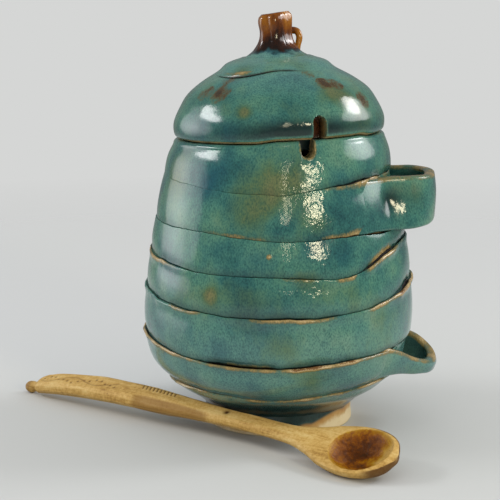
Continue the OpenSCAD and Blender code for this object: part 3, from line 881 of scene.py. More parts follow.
        def skin(height: Array, rise: Array, drop: Array) -> Array:
            """Radius of the outer face.

            Args:
                height: Heights to read.
                rise: Their distance from the strip's lower edge.
                drop: Their distance from its upper edge.

            Returns:
                One radius for each height.
            """
            edges = lip * bell(drop, 2.4) - 0.75 * tuck * bell(rise, 2.6) - hollow * bell(drop, 12)
            swell = self.swell * np.sin(np.pi * rise / (rise + drop + 0.01))
            return self.radius(height) + swell + edges + self.dent(at(az, self.radius(height), height))

        # The outside: a rolled lower edge, the face, and a rounded upper edge
        under, over = np.radians(np.linspace(0, 78, 5)), np.radians(np.linspace(15, 90, 6))
        face = low + bed_r + (high - low - bed_r - top_r) * spaced(26, 0.75)
        z = np.hstack([low + bed_r * (1 - np.cos(under)), face, high - top_r + top_r * np.sin(over)])
        up, down = z - low, high - z
        r = skin(z, up, down)
        r[:, : len(under)] = skin(low + bed_r, bed_r, high - low - bed_r) - bed_r * (1 - np.sin(under))
        crest = skin(high - top_r, high - low - top_r, top_r)
        r[:, -len(over) :] = crest - top_r * (1 - np.cos(over))
        outside = z.shape[1]
        # Its glaze: thin on both edges, wider so at the upper right, and thick below the seam; the seam
        # itself is painted dark as shade
        width = 1.4 + 1.1 * (k >= 5) * ease((az - 24) / 16) * ease((130 - az) / 20)
        below = self.share(k, az, Trait.GOLD) * bell(np.maximum(down - 0.2, 0), width)
        above = self.share(k - 1, az, Trait.HANG) * bell(np.maximum(up - 0.5, 0), width)
        masks = {
            Mask.EDGE: np.clip(below + above, 0, 1),
            Mask.CREVICE: np.clip(tuck * (1.0 - up / 0.8), 0, 1) * np.ones_like(z),
            Mask.THICK: np.clip(0.75 * np.sqrt(tuck) * bell(np.maximum(up - 0.4, 0), 2.3), 0, 1),
        }
        # The top, the inside and the bed
        if k == 7:
            tail_r, tail_z = self.rim_tail(az, crest, high)
            inside_z = (high - self.seat) + (low - high + self.seat) * spaced(9, 0.2)
        else:
            tail_r = crest - top_r - (0.5 + 1.5 * gap) * np.array([0.2, 0.55, 0.95, 1.25])
            tail_z = high - gap * np.array([0.35, 0.95, 0.7, 0.0])
            inside_z = high + (low - high) * spaced(7, 0.2)
        inside_r = self.inner(inside_z) + 0.5 * self.dent(at(az, self.inner(inside_z), inside_z))
        r = np.hstack([r, tail_r, inside_r, r[:, :1] - (0.8 + 1.2 * tuck)])
        z = np.hstack([z, tail_z, inside_z, low])
        plain = np.zeros((len(az), z.shape[1] - outside))
        full = {key: np.hstack([value, plain]) for key, value in masks.items()}
        if k < 7:
            # The open seam's gap is painted near black, as its shade
            seam = slice(outside, outside + tail_z.shape[1])
            full[Mask.CREVICE][:, seam] = np.clip(gap * 1.5, 0.05, 1)
        else:
            before = self.radius(z[:, :outside])
            z, near = self.notched(az, r, z)
            r[:, :outside] += self.radius(z[:, :outside]) - before
            tilt = r * np.sin(np.radians(az)) * math.tan(math.radians(self.rim_tilt))
            z = z + (tilt + self.lift(az)) * np.clip((z - self.rim_z + 13) / 10, 0, 1)
            right = ease((az - self.notch_az + 1.5) / 3)
            full[Mask.EDGE] = np.maximum(full[Mask.EDGE] * 0.6, near * (0.42 + 0.16 * right))
            # The notch's inner part is painted dark, as the shade inside the pot
            full[Mask.THICK] = np.maximum(full[Mask.THICK], near * (r < self.inner(z) + 4.6))
        full[Mask.BARE] = self.bare(az, z) * (r > self.inner(z) + 2) * ease((self.foot_h + 0.7 - z) / 0.5)
        # Painted shade: dark low on the pot, under its belly, and on its inside
        for pooled_and_shaded in (0.95 * ease((21 - z) / 9), 0.9 * (r < self.inner(z) + 2)):
            full[Mask.THICK] = np.maximum(full[Mask.THICK], pooled_and_shaded)
        points = at(az, r, z)
        full[Mask.TINT] = self.tint(points)
        full[Mask.CRINKLE] = self.crinkle(points)
        if k == 5:
            # One small blister of clay that the glaze has left
            side, height = self.blister
            spot = np.linalg.norm(points - at(side, self.radius(np.array(height)), height), axis=-1)
            full[Mask.EDGE] = np.maximum(full[Mask.EDGE], 0.85 * bell(spot, 1.0))
            points = points + 0.5 * bell(spot, 0.8)[..., None] * at(az, 1.0, 0.0)
        return Loft(points, full)

    def tint(self, points: Array) -> Array:
        """Tan and blue patches of the glaze.

        Args:
            points: Points on the wall or a strap.

        Returns:
            Above 0 where the glaze is tan, and below 0 where it is blue.
        """
        total = np.zeros(points.shape[:-1])
        for az, z, size, strength in self.tints:
            middle = at(az, self.radius(np.array(z)), z)
            total += strength * bell(np.linalg.norm(points - middle, axis=-1), size)
        return total

    def crinkle(self, points: Array) -> Array:
        """Tells where the glaze is drawn into fine wrinkles: a ragged streak down the front.

        Args:
            points: Points on the wall.

        Returns:
            1 in the streak and 0 away from it.
        """
        az = np.degrees(np.arctan2(points[..., 0], -points[..., 1]))
        streak = bell(az - 13, 13) * ease((points[..., 2] - 58) / 8) * ease((121 - points[..., 2]) / 6)
        return np.clip(streak * (0.75 + 0.9 * lumps(points, 6.0, 41)), 0, 1)

    def rim_tail(self, az: Array, crest: Array, high: Array) -> tuple[Array, Array]:
        """The rest of the rim's rounded top, from its outer curve to its inner one.

        Args:
            az: Azimuths.
            crest: Outer radius where the rounding starts.
            high: Height of the rim.

        Returns:
            Radii and heights of the points.
        """
        inner, seat, edge = self.inner(high) + np.zeros_like(az), self.seat, crest - self.rim_round
        turn = np.radians(np.linspace(90, 0, 6))
        flat = edge + (inner + seat - edge) * np.array([0.35, 0.7])
        r = np.hstack([flat, inner + seat * (1 - np.cos(turn))])
        z = np.hstack([high, high, high - seat + seat * np.sin(turn)])
        return r[:, :-1], z[:, :-1]

    def foot(self) -> Loft:
        """The turned foot and floor slab, glazed but for its right side.

        Returns:
            A closed disc whose sections run from the middle of its top out and under.
        """
        az = self.azimuths(0)
        edge = 1.2
        turn = np.radians(np.linspace(90, 0, 6))
        side = spaced(10, 0.2)
        top = np.array([[r, self.foot_h] for r in (0.02, 0.5 * self.foot_r, 0.9 * self.foot_r)])
        flare = 0.35 * bell(1 - side, 0.3)
        wall = np.stack([self.foot_r - 0.3 + flare, self.foot_h + (edge - self.foot_h) * side], axis=1)
        inward, upward = np.sin(turn), np.sin(turn[::-1])
        curl = np.stack([self.foot_r - edge + edge * inward, edge - edge * upward], axis=1)
        sole = np.array([[self.foot_r - 4, 0], [self.foot_r - 5, 0.6], [12, 0.8], [0.02, 0.8]])
        line = np.vstack([top, wall, curl[1:], sole])
        points = at(az, line[:, 0], line[:, 1])
        worn = 0.16 * lumps(points, 4.0, 51) * (line[:, 0] > self.foot_r - 2)
        points = at(az, line[:, 0] - abs(worn), line[:, 1])
        bare = np.maximum(self.bare(az, line[:, 1]), (line[:, 1] < 0.3) * 1.0)
        bare = np.where(np.arange(len(line)) < len(top), 0.0, bare)
        # Painted shade: the glazed part of the foot is drawn dark, under the pot's belly
        thick = 0.95 * (1 - bare)
        return Loft(points, {Mask.BARE: bare, Mask.THICK: thick}, closed=False)


@dataclass
class Strap:
    """A strap that peels off the wall and comes back to it."""

    pot: Pot
    low_z: float  # height that the lower edge's offsets count from
    high_z: float
    thick: float
    route: Rows  # azimuth, distance from the wall, lower and upper offsets
    dips: Rows  # azimuth, width in degrees, how far the outer face swells there
    square: float = 0.8  # 1 for round edges, less for squarer ones
    rim_edge: float = 0.62  # how thin the glaze runs over the edges
    sections: int = 150
    sides: int = 72

    def loft(self) -> Loft:
        """The strap, whose ends run on inside the wall.

        Returns:
            A bar with rounded edges.
        """
        u = np.linspace(0, len(self.route) - 1, self.sections)
        p = curve(tuple((i, *row) for i, row in enumerate(self.route)), u)
        p = p + np.array([0, 0, self.low_z, self.high_z])
        mid_r = self.pot.radius((p[:, 2] + p[:, 3]) / 2)
        spot = at(p[:, 0], mid_r + p[:, 1], 0.0 * u)
        run = np.gradient(spot, axis=0)
        out = np.stack([run[:, 1], -run[:, 0], 0 * u], axis=1)
        out /= np.linalg.norm(out, axis=1, keepdims=True)
        half, tall = self.thick / 2, (p[:, 3] - p[:, 2]) / 2
        angle = np.radians(np.linspace(0, 360, self.sides, endpoint=False))
        c, s = np.cos(angle), np.sin(angle)
        # Flat sides, with half-round ends above and below
        across = np.sign(c) * np.minimum(1, abs(c) / self.square) ** 0.62
        round_end = np.sign(s) * abs(s) * np.minimum(half, tall)[:, None] * 0.98
        flat = np.maximum(tall - half, 0)[:, None] * np.sign(s) * np.minimum(1, abs(s) / 0.6) ** 0.9
        rise = flat + round_end
        height = rise / tall[:, None]
        z = (p[:, 2] + p[:, 3])[:, None] / 2 + rise
        reach = max(row[1] for row in self.route)
        lean = np.clip(1 - p[:, 1] / reach, 0, 1)[:, None] * (self.pot.radius(z) - mid_r[:, None])
        pushes = [(depth, bell(p[:, :1] - az, width)) for az, width, depth in self.dips]
        swell = sum(depth * share for depth, share in pushes)
        face = bell(height - 0.15, 0.5) * np.clip(c, 0, 1)
        side = across * half + face * swell + 0.5 * (1 - height**2)
        radial = at(p[:, :1], 1.0, 0.0)
        points = spot[:, None, :] + out[:, None, :] * side[..., None] + radial * lean[..., None]
        points[..., 2] = z
        points += out[:, None, :] * (self.pot.dent(points))[..., None]
        points[..., 2] += 0.22 * lumps(points, 7.0, 61) * abs(height) ** 3
        edge = bell(np.maximum(tall[:, None] - abs(rise) - 0.9, 0), 1.3) * self.rim_edge
        edge = edge * np.where(rise > 0, 1.0, 0.4) * (0.8 + 0.35 * lumps(points, 6.0, 62))
        # Painted shade in the thumb's dent, where the outer face is pressed in
        thick = 0.55 * face * sum(max(-depth, 0) * share for depth, share in pushes)
        # Painted shade on the inner face, which turns towards the wall
        inner = np.clip(-across, 0, 1) * (1 - height**4) * 0.75
        masks = {
            Mask.EDGE: np.clip(edge, 0, 1),
            Mask.THICK: np.clip(thick + inner, 0, 1),
            Mask.CRINKLE: 0.8 * bell(p[:, :1] - 72, 8) * np.clip(c, 0, 1) * (1 - height**4),
            Mask.TINT: self.pot.tint(points),
        }
        return Loft(points, masks, ring=False)


@dataclass
class UpperStrap(Strap):
    """The strap that holds the spoon's handle, pressed in by a thumb at its root."""

    low_z: float = 84.0
    high_z: float = 101.6
    thick: float = 4.4
    route: Rows = (
        (36, -3.2, 0.8, 2.8), (41, -2.35, 0.7, 3.4), (45, -2.15, 0.7, 3.8), (49, -2.0, 0.8, 3.8),
        (53, -1.65, 0.8, 3.8), (57, -0.8, 0.8, 3.9), (60, 0.5, 0.8, 4.2), (63.5, 3.4, 0.7, 4.4),
        (67, 6.8, 0.7, 4.4), (72, 10.1, 0.9, 4.3), (78, 12.2, 1.6, 4.2), (85, 13.0, 2.9, 4.3),
        (92, 13.1, 3.9, 4.4), (99, 12.2, 4.2, 4.3), (105.5, 8.5, 4, 4.3), (110, 2.5, 3.4, 4.0),
        (114, -2.2, 2.8, 4.2), (119, -3.6, 2.8, 4.2),
    )
    dips: Rows = ((60.5, 4.5, -1.5), (69, 4, -0.7), (85, 6, 0.2))


@dataclass
class LowerStrap(Strap):
    """The smaller strap low on the pot, which narrows to a rounded tongue."""

    low_z: float = 19.5
    high_z: float = 35.0
    thick: float = 3.6
    route: Rows = (
        (42, -4.2, 3.4, 2.4), (48, -2.9, 3.8, 2.8), (53, -1.5, 4.6, 3.1), (57, -0.4, 5.2, 2.0),
        (61, 0.9, 5.3, 0.6), (67.7, 3.7, 4.8, -2.6), (74, 8.1, 3.4, -5.2), (79, 11.6, 2.7, -6.6),
        (83, 13.1, 2.4, -7.0), (87, 13.7, 2.3, -6.9), (91, 13.2, 2.5, -5.8), (95, 10.8, 2.9, -3.9),
        (99, 6.0, 3.3, -1.2), (103.5, -0.8, 3.5, 1.0), (110, -4.2, 3.8, 1.6),
    )
    dips: Rows = ((84, 9, 0.5),)
    square: float = 0.9


# ---- the lid ----


@dataclass
class Lid:
    """The loose lid: a dome of two lapped sheets, its locating ring, stem and tendril."""

    pot: Pot
    gap: float = 0.3
    r: float = 43.4
    h: float = 31.6
    thick: float = 6.0
    sole_in: float = 2.4
    ring_r: float = 35.04
    ring_t: float = 3.0
    ring_h: float = 5.0
    seat_r: float = 14.0
    lap_d: float = 1.0
    notch_w: float = 5.0
    notch_h: float = 8.8
    notch_az: float = 21.7
    columns: int = 480
    lap_place: tuple[float, ...] = (7.16, 7.02, 7, 7, 7, 7, 7, 7, 7, 6.85, 6.66, 6.68)
    hollow_lap: float = 3.4
    # Azimuth, height over the edge, size and strength of iron patches on the dome
    patches: Rows = (
        (-40, 19.0, 6.0, 0.6), (-40, 18.5, 3.0, 0.9), (-53, 19.0, 6.0, 0.45), (-42, 24.0, 6.0, 0.4),
        (28, 25.0, 3.6, 0.5), (35, 21.4, 3.4, 0.95), (43, 21.0, 5.0, 0.55), (58, 14.0, 5.0, 0.5),
        (140, 20.0, 6.0, 0.6), (-150, 18.0, 6.0, 0.6), (-110, 15.0, 6.0, 0.6),
    )
    # The same for tan (above 0) and deep blue (below 0)
    tints: Rows = (
        (-29, 12, 4, 0.2), (-18.2, 12, 3.4, 0.85), (4, 15, 8, 0.3), (34, 18, 6, 0.6), (48, 13, 6, 0.5),
        (-6, 29, 6, 0.1), (20, 29, 5, 0.2), (-38, 26, 5, 0.4), (-48, 6, 7, -0.9), (-26, 5, 6, -0.7),
        (-4, 8, 7, -0.6), (12, 20, 6, -0.5), (-20, 20, 6, -0.4), (30, 6, 6, -0.5), (45, 8, 6, 0.2),
        (150, 12, 9, 0.6), (-130, 10, 9, -0.7),
    )

    def dome(self, place: Array) -> Array:
        """Outer surface of the dome.

        Args:
            place: Places up it, from the sole (0) to the stem's seat (9).

        Returns:
            Radius and height of each place.
        """
        r, h = self.r, self.h
        line = (
            (r - self.sole_in, 0),
            (r - 0.6, 1.2),
            (r, 4.2),
            (r - 0.5, 7.5),
            (r - 2.6, 0.38 * h),
            (r - 6.2, 0.55 * h),
            (r - 12.4, 0.7 * h),
            (r - 19.4, 0.83 * h),
            ((r + self.seat_r) / 2 - 8.5, 0.93 * h),
            (self.seat_r, h),
        )
        return curve(tuple((i, *row) for i, row in enumerate(line)), place)

    def hollow(self, place: Array) -> Array:
        """Inner surface of the dome.

        Args:
            place: Places up it, from the sole (0) to near the axis (5).

        Returns:
            Radius and height of each place.
        """
        r, h, t = self.ring_r - self.ring_t - 0.4, self.h, self.thick
        line = (
            (r, 0),
            (r + 2, 5),
            (r + 0.4, 0.38 * h),
            (r - 7, 0.72 * h - 0.6 * t),
            (r - 16, 0.92 * h - 0.8 * t),
            (r - 26, h - t),
        )
        return curve(tuple((i, *row) for i, row in enumerate(line)), place)

    def on_rim(self, points: Array) -> Array:
        """Lays the lid on the sloping rim.

        Args:
            points: Points drawn on the lid's own flat edge.

        Returns:
            The points in the part's frame.
        """
        turn = Matrix.Rotation(math.radians(-self.pot.rim_tilt), 3, "Y")
        laid = points @ np.array(turn).T + np.array([0, 0, self.pot.rim_z + self.gap])
        az = np.degrees(np.arctan2(points[..., 0], -points[..., 1]))
        laid[..., 2] += self.pot.lift(az) * ease((24 - points[..., 2]) / 22)
        return laid

    def outward(self, place: Array, off: Array, az: Array) -> Array:
        """Points on the dome, pushed off it square to its surface.

        Args:
            place: Places up the dome.
            off: How far to push each.
            az: Azimuths.

        Returns:
            The points, on the lid's own flat edge.
        """
        p = self.dome(place)
        d = self.dome(place + 0.02) - self.dome(place - 0.02)
        d /= np.linalg.norm(d, axis=-1, keepdims=True)
        return at(az, p[..., 0] + off * d[..., 1], p[..., 1] - off * d[..., 0])

    def dent(self, points: Array) -> Array:
        """How far the dome is pushed in or out."""
        return 0.3 * lumps(points, 26.0, 71) + 0.12 * lumps(points, 11.0, 72)

    def lap(self, az: Array) -> Array:
        """How strongly the upper sheet's edge stands out: at the front and left alone.

        Args:
            az: Azimuths.

        Returns:
            Its height over the lower sheet.
        """
        turned = np.where(az > 180, az - 340, az + 20)
        uneven = 1 + 0.3 * lumps(at(az, 25.0, 0.0), 5.0, 73)
        return np.maximum(0, np.cos(np.radians(1.7 * turned))) * self.lap_d * uneven

    def niche(self, points: Array) -> tuple[Array, Array, Array]:
        """Presses the notch into the skirt's edge.

        Args:
            points: Points on the lid's own flat edge.

        Returns:
            The points with the notch, how near each is to its outline, and how far in.
        """
        turn = math.radians(self.notch_az)
        out = np.array([math.sin(turn), -math.cos(turn)])
        side = np.array([math.cos(turn), math.sin(turn)])
        depth, across, z = points[..., :2] @ out, points[..., :2] @ side, points[..., 2]
        half = self.notch_w / 2
        top = self.notch_h - half
        away = np.where(z > top, np.hypot(across, z - top), abs(across)) - half
        floor = self.ring_r + 1.6
        held = ease(0.5 - away / 0.7) * (depth > floor)
        moved = points.copy()
        moved[..., :2] -= ((depth - floor) * held * 0.97)[..., None] * out
        near = bell(np.maximum(away, 0), 0.7) * (depth > floor - 2) * (away > -0.5)
        return moved, near, held

    def azimuths(self, notched: bool) -> Array:
        """Columns round the dome.

        Args:
            notched: Whether they are closer together at the notch.

        Returns:
            Azimuths, as one column.
        """
        az = np.arange(self.columns) * 360 / self.columns
        if notched:
            near = abs(az - self.notch_az) < 6
            az = np.sort(np.append(az[~near], self.notch_az + np.arange(-6, 6.01, 0.25)))
        return az[:, None]

    def masks(self, points: Array, heights: Array, outer: Array) -> dict[Mask, Array]:
        """Masks of the dome's sheets.

        Args:
            points: Points in the part's frame.
            heights: Their heights over the lid's edge.
            outer: 1 on the outer surface and 0 elsewhere.

        Returns:
            The thin edge at the sole, the dark lower part, and the patches of the glaze.
        """
        rust = np.zeros(points.shape[:-1])
        for az, h, size, strength in self.patches:
            rust = np.maximum(rust, strength * bell(self.far(points, az, h), size))
        tint = np.zeros(points.shape[:-1])
        for az, h, size, strength in self.tints:
            tint += strength * bell(self.far(points, az, h), size)
        low = ease((heights - 0.9) / 1.6) * ease((11 - heights) / 7)
        az = np.degrees(np.arctan2(points[..., 0], -points[..., 1]))
        # Darker low on the dome, least on the left where the lamps shine: partly thick glaze, partly painted
        # shade; and a darker belt round the middle
        pooled_and_shaded = low * outer * (0.25 + 0.85 * bell(az - 14, 36)) + 0.2 * bell(heights - 15, 7)
        return {
            Mask.EDGE: bell(np.maximum(heights - 0.4, 0), 0.55) * outer * 0.8,
            Mask.THICK: np.clip(pooled_and_shaded, 0, 1),
            Mask.RUST: rust * outer,
            Mask.TINT: tint,
            Mask.CRINKLE: 0.7 * bell(az - 10, 9) * bell(heights - 8, 4) * outer,
        }

    def far(self, points: Array, az: float, h: float) -> Array:
        """Distance of points from one place on the dome.

        Args:
            points: Points in the part's frame.
            az: The place's azimuth.
            h: Its height over the lid's edge.

        Returns:
            Distances.
        """
        places = np.linspace(0, 9, 181)
        line = self.dome(places)
        r = float(np.interp(h, line[:, 1], line[:, 0]))
        return np.linalg.norm(points - self.on_rim(at(az, r, h)), axis=-1)

    def skirt(self) -> Loft:
        """The dome's lower sheet with its rolled edge and its notch.

        Returns:
            A ring whose sections run up the outside, down the inside and out over the sole.
        """
        az = self.azimuths(True)
        place = ring_curve(self.lap_place, az)
        lap = self.lap(az)
        t = place * spaced(60, 0.25)
        ridge = lap * (0.35 * bell(place - t - 0.5, 0.35) - 0.35 * bell(place - t, 0.12))
        push = self.dent(self.on_rim(self.outward(t, 0 * t, az))) * ease(t / 2)
        outer = self.outward(t, push + ridge, az)
        q = self.hollow_lap * spaced(14, 0.1)[::-1]
        hollow = self.hollow(q)
        under = at(az, hollow[..., 0], hollow[..., 1])
        edge_r = np.linspace(self.ring_r - self.ring_t - 0.4, self.r - self.sole_in, 14)[1:-1]
        sole = at(az, edge_r, 0.0)
        flat, near, held = self.niche(np.concatenate([outer, under, sole], axis=1))
        points = self.on_rim(flat)
        is_outer = np.zeros(flat.shape[1])
        is_outer[: outer.shape[1]] = 1
        masks = self.masks(points, flat[..., 2], is_outer)
        masks[Mask.EDGE] = np.maximum(masks[Mask.EDGE], 0.5 * near)
        masks[Mask.EDGE][:, outer.shape[1] + under.shape[1] :] = 0.6
        masks[Mask.THICK] = np.clip(masks[Mask.THICK] * (1 - near), 0, 1)
        masks[Mask.AMBER] = held
        # Painted shadow beneath the upper sheet's lapped edge
        line = 0.9 * bell(t - place, 0.05) * np.clip(lap * 1.4, 0, 1)
        masks[Mask.CREVICE] = np.hstack([line, np.zeros((len(az), flat.shape[1] - t.shape[1]))])
        return Loft(points, masks)

    def cap(self) -> Loft:
        """The dome's upper sheet, which laps over the lower one at the front left.

        Returns:
            A cap whose sections run from the middle of its inside out and up to the stem.
        """
        az = self.azimuths(False)
        place = ring_curve(self.lap_place, az)
        lap = self.lap(az)
        q = self.hollow_lap + (5 - self.hollow_lap) * spaced(12, 0.1)[::-1]
        hollow = self.hollow(q)
        under = at(az, hollow[..., 0], hollow[..., 1])
        t = place + (9 - place) * spaced(44, 0.3) ** 1.15
        away = (t - place) / 0.16
        left = (az + 180) % 360 - 180
        off = (0.45 + 0.5 * ease((-16 - left) / 10)) * lap * ease(away + 0.15) * bell(t - place, 0.9)
        outer = self.outward(t, off, az)
        push = self.dent(self.on_rim(outer)) * ease((9 - t) / 0.5)
        outer = self.outward(t, off + push, az)
        heart = at(az, np.array([11.0, 6.0, 0.02]), self.h)
        flat = np.concatenate([under, outer, heart], axis=1)
        points = self.on_rim(flat)
        is_outer = np.zeros(flat.shape[1])
        is_outer[under.shape[1] :] = 1
        masks = self.masks(points, flat[..., 2], is_outer)
        gold = around(((-60, 0.7), (-34, 0.75), (-24, 0.3), (-10, 0.1), (30, 0.1), (60, 0)), az)
        thin = bell(away - 1.4, 1.4) * np.clip(lap, 0, 1) * gold
        outside = masks[Mask.EDGE][:, under.shape[1] : -3]
        outside[:] = np.maximum(outside, thin)
        # Painted shadow along the lapped edge
        line = 0.9 * bell(away, 0.3) * np.clip(lap * 1.2, 0, 1)
        masks[Mask.CREVICE] = np.zeros_like(masks[Mask.EDGE])
        masks[Mask.CREVICE][:, under.shape[1] : -3] = line
        return Loft(points, masks, closed=False)

    def ring(self) -> Loft:
        """The locating ring that stands down inside the mouth, painted dark as the shade inside the pot.

        Returns:
            A ring with rounded lower edges.
        """
        az = self.azimuths(False)
        turn = np.radians(np.linspace(0, 90, 5))
        low, r, t = -self.ring_h, self.ring_r, self.ring_t
        outer = np.stack([r - 0.8 + 0.8 * np.cos(turn), low + 0.8 - 0.8 * np.sin(turn)], axis=1)
        inner = np.stack([r - t + 0.6 - 0.6 * np.sin(turn), low + 0.6 - 0.6 * np.cos(turn)], axis=1)
        wall = np.stack([np.full(8, r), np.linspace(0, low + 0.9, 8)], axis=1)
        back = np.stack([np.full(8, r - t), np.linspace(low + 0.7, 0, 8)], axis=1)
        line = np.vstack([wall, outer, inner, back])
        flat = at(az, line[:, 0], line[:, 1])
        # Painted shade all over, as the ring sits inside the pot
        return Loft(self.on_rim(flat), {Mask.THICK: np.ones(flat.shape[:-1])})


@dataclass
class Stem:
    """The lid's knob, a stub of twig with a dipped, lopsided head, and its tendril."""

    lid: Lid
    foot_r: float = 13.6
    neck_r: float = 6.4
    head_r: float = 6.8
    h: float = 18.48
    head_rise: float = 0.6
    head_dip: float = 2.2
    tendril_r: float = 1.1
    tendril_out: float = 3.8

    def rows(self) -> Rows:
        """Sizes up the stem.

        Returns:
            Rows of share of its height, sideways shift, radius and lobes.
        """
        foot, neck, head = self.foot_r, self.neck_r, self.head_r
        return (
            (-0.12, 0, foot + 1.6, 0),
            (0, 0, foot - 0.8, 0.1),
            (0.1, -0.1, foot - 3.4, 0.4),
            (0.2, -0.3, (foot + neck) / 2 - 1.4, 0.8),
            (0.36, -0.4, neck + 0.5, 1.1),
            (0.55, -0.4, neck, 1.1),
            (0.78, -0.6, head, 1.2),
            (0.92, -0.6, head - 0.3, 1.2),
            (1, -0.5, head - 1.4, 1),
        )

    def loft(self) -> Loft:
        """The stem.

        Returns:
            Sections from the inside of its dipped head out and down to its flared foot.
        """
        az = np.linspace(0, 360, 144, endpoint=False)[:, None]
        part = np.concatenate([1 - 0.02 * np.arange(5), 0.9 - 1.0 * spaced(44, 0.1)[1:]])
        p = curve(self.rows(), part)
        a = np.radians(az)
        lobes = 0.36 * np.cos(3 * a + 0.7) + 0.3 * np.cos(5 * a - 1.22) + 0.16 * np.cos(8 * a)
        grooves = -0.22 * np.maximum(0, np.cos(6 * a + 0.8 + 1.6 * part)) ** 3 * ease((1.05 - part) / 0.3)
        r = p[:, 1] + p[:, 2] * (lobes + grooves)
        rise = self.head_rise * np.maximum(0, part - 0.6) / 0.4 * np.sin(a)
        height = self.lid.h + (self.h - 1.2) * part + rise
        body = np.stack([p[:, 0] + r * np.sin(a), -r * np.cos(a), height], axis=-1)
        brim = body[:, :1]
        shares = np.array([0.03, 0.14, 0.3, 0.5, 0.72])
        heart = np.array([p[0, 0], 0, self.lid.h + self.h - 1.2 - self.head_dip])
        inward = brim * shares[:, None] + heart * (1 - shares[:, None])
        inward[..., 2] = heart[2] + (brim[..., 2] - heart[2]) * np.array([0, 0.05, 0.25, 0.58, 0.9])
        body = np.concatenate([inward, body], axis=1)
        body[..., :2] *= (1 + 0.018 * lumps(body, 3.4, 81))[..., None]
        close = np.array([0.0, 0.0, self.lid.h - 3.4])
        tail = body[:, -1:] * np.array([[0.6, 0.6, 0], [0.01, 0.01, 0]]) + close * np.array([[1, 1, 1.0]])
        body = np.concatenate([body, tail], axis=1)
        height = (body[..., 2] - self.lid.h) / self.h
        ragged = height + 0.06 * lumps(body, 5.0, 82) + 0.05 * lumps(body, 1.6, 83)
        # Brown glaze above, with a dark line where it meets the green; painted highlight lightens the upper
        # part of its left and right sides and the whole right side, and it is darker low on its front
        amber = ease((ragged - 0.1) / 0.05)
        seam = bell(ragged - 0.12, 0.05)
        side = np.sin(a) * np.ones_like(height)
        lit_sides = ease((height - 0.45) / 0.4) * (0.3 + 0.7 * abs(side) ** 2)
        lit_sides = lit_sides + 0.25 * ease((side - 0.3) / 0.5)
        deep = 0.75 * bell(height - 0.3, 0.2) * np.clip(np.cos(a + 0.1), 0, 1)
        tint = 1.3 * lit_sides - 1.3 * deep - 0.9 * seam
        masks = {Mask.AMBER: amber, Mask.THICK: 0.8 * seam, Mask.TINT: tint}
        return Loft(self.lid.on_rim(body), masks, closed=False)

    def tendril(self) -> Loft:
        """The curl of clay from the stem's neck down to its foot.

        Returns:
            A bent bar, whose ends run on inside the stem.
        """
        base, out = self.neck_r - 0.6, self.tendril_out
        line = (
            (base - 2.2, 3, 9.2),
            (base - 0.7, 3, 9.7),
            (base + 0.38 * out, 3, 9.9),
            (base + 0.78 * out, 2.6, 9.4),
            (base + out, 2.2, 7.8),
            (base + 0.98 * out, 2, 6.0),
            (base + 0.86 * out, 1.8, 4.2),
            (base + 0.72 * out, 1.6, 1.2),
        )
        rows = tuple((i, *row) for i, row in enumerate(line))
        u, sides = np.linspace(0, len(line) - 1, 70), 24
        p = curve(rows, u) + np.array([0, 0, self.lid.h])
        run = np.gradient(p, axis=0)
        run /= np.linalg.norm(run, axis=1, keepdims=True)
        flat = np.cross(run, [0.0, 1.0, 0.0])
        flat /= np.linalg.norm(flat, axis=1, keepdims=True)
        over = np.cross(run, flat)
        a = np.radians(np.linspace(0, 360, sides, endpoint=False))[:, None]
        r = (self.tendril_r * (1.42 - 0.05 * u))[:, None, None]
        ring = np.cos(a) * flat[:, None, :] + 0.95 * np.sin(a) * over[:, None, :]
        points = p[:, None, :] + r * ring * (1 + 0.1 * lumps(p[:, None, :] + ring, 2.2, 84)[..., None])
        # Painted shade on the side towards the stem, and painted highlight that makes the outer side tan
        inside = np.clip((p[:, 0].max() - 1.2 - points[..., 0]) / 2.2, -1, 1)
        masks = {Mask.AMBER: np.ones((len(u), sides)), Mask.TINT: 1.2 - 1.3 * inside}
        return Loft(self.lid.on_rim(points), masks, ring=False)


# ---- the spoon ----


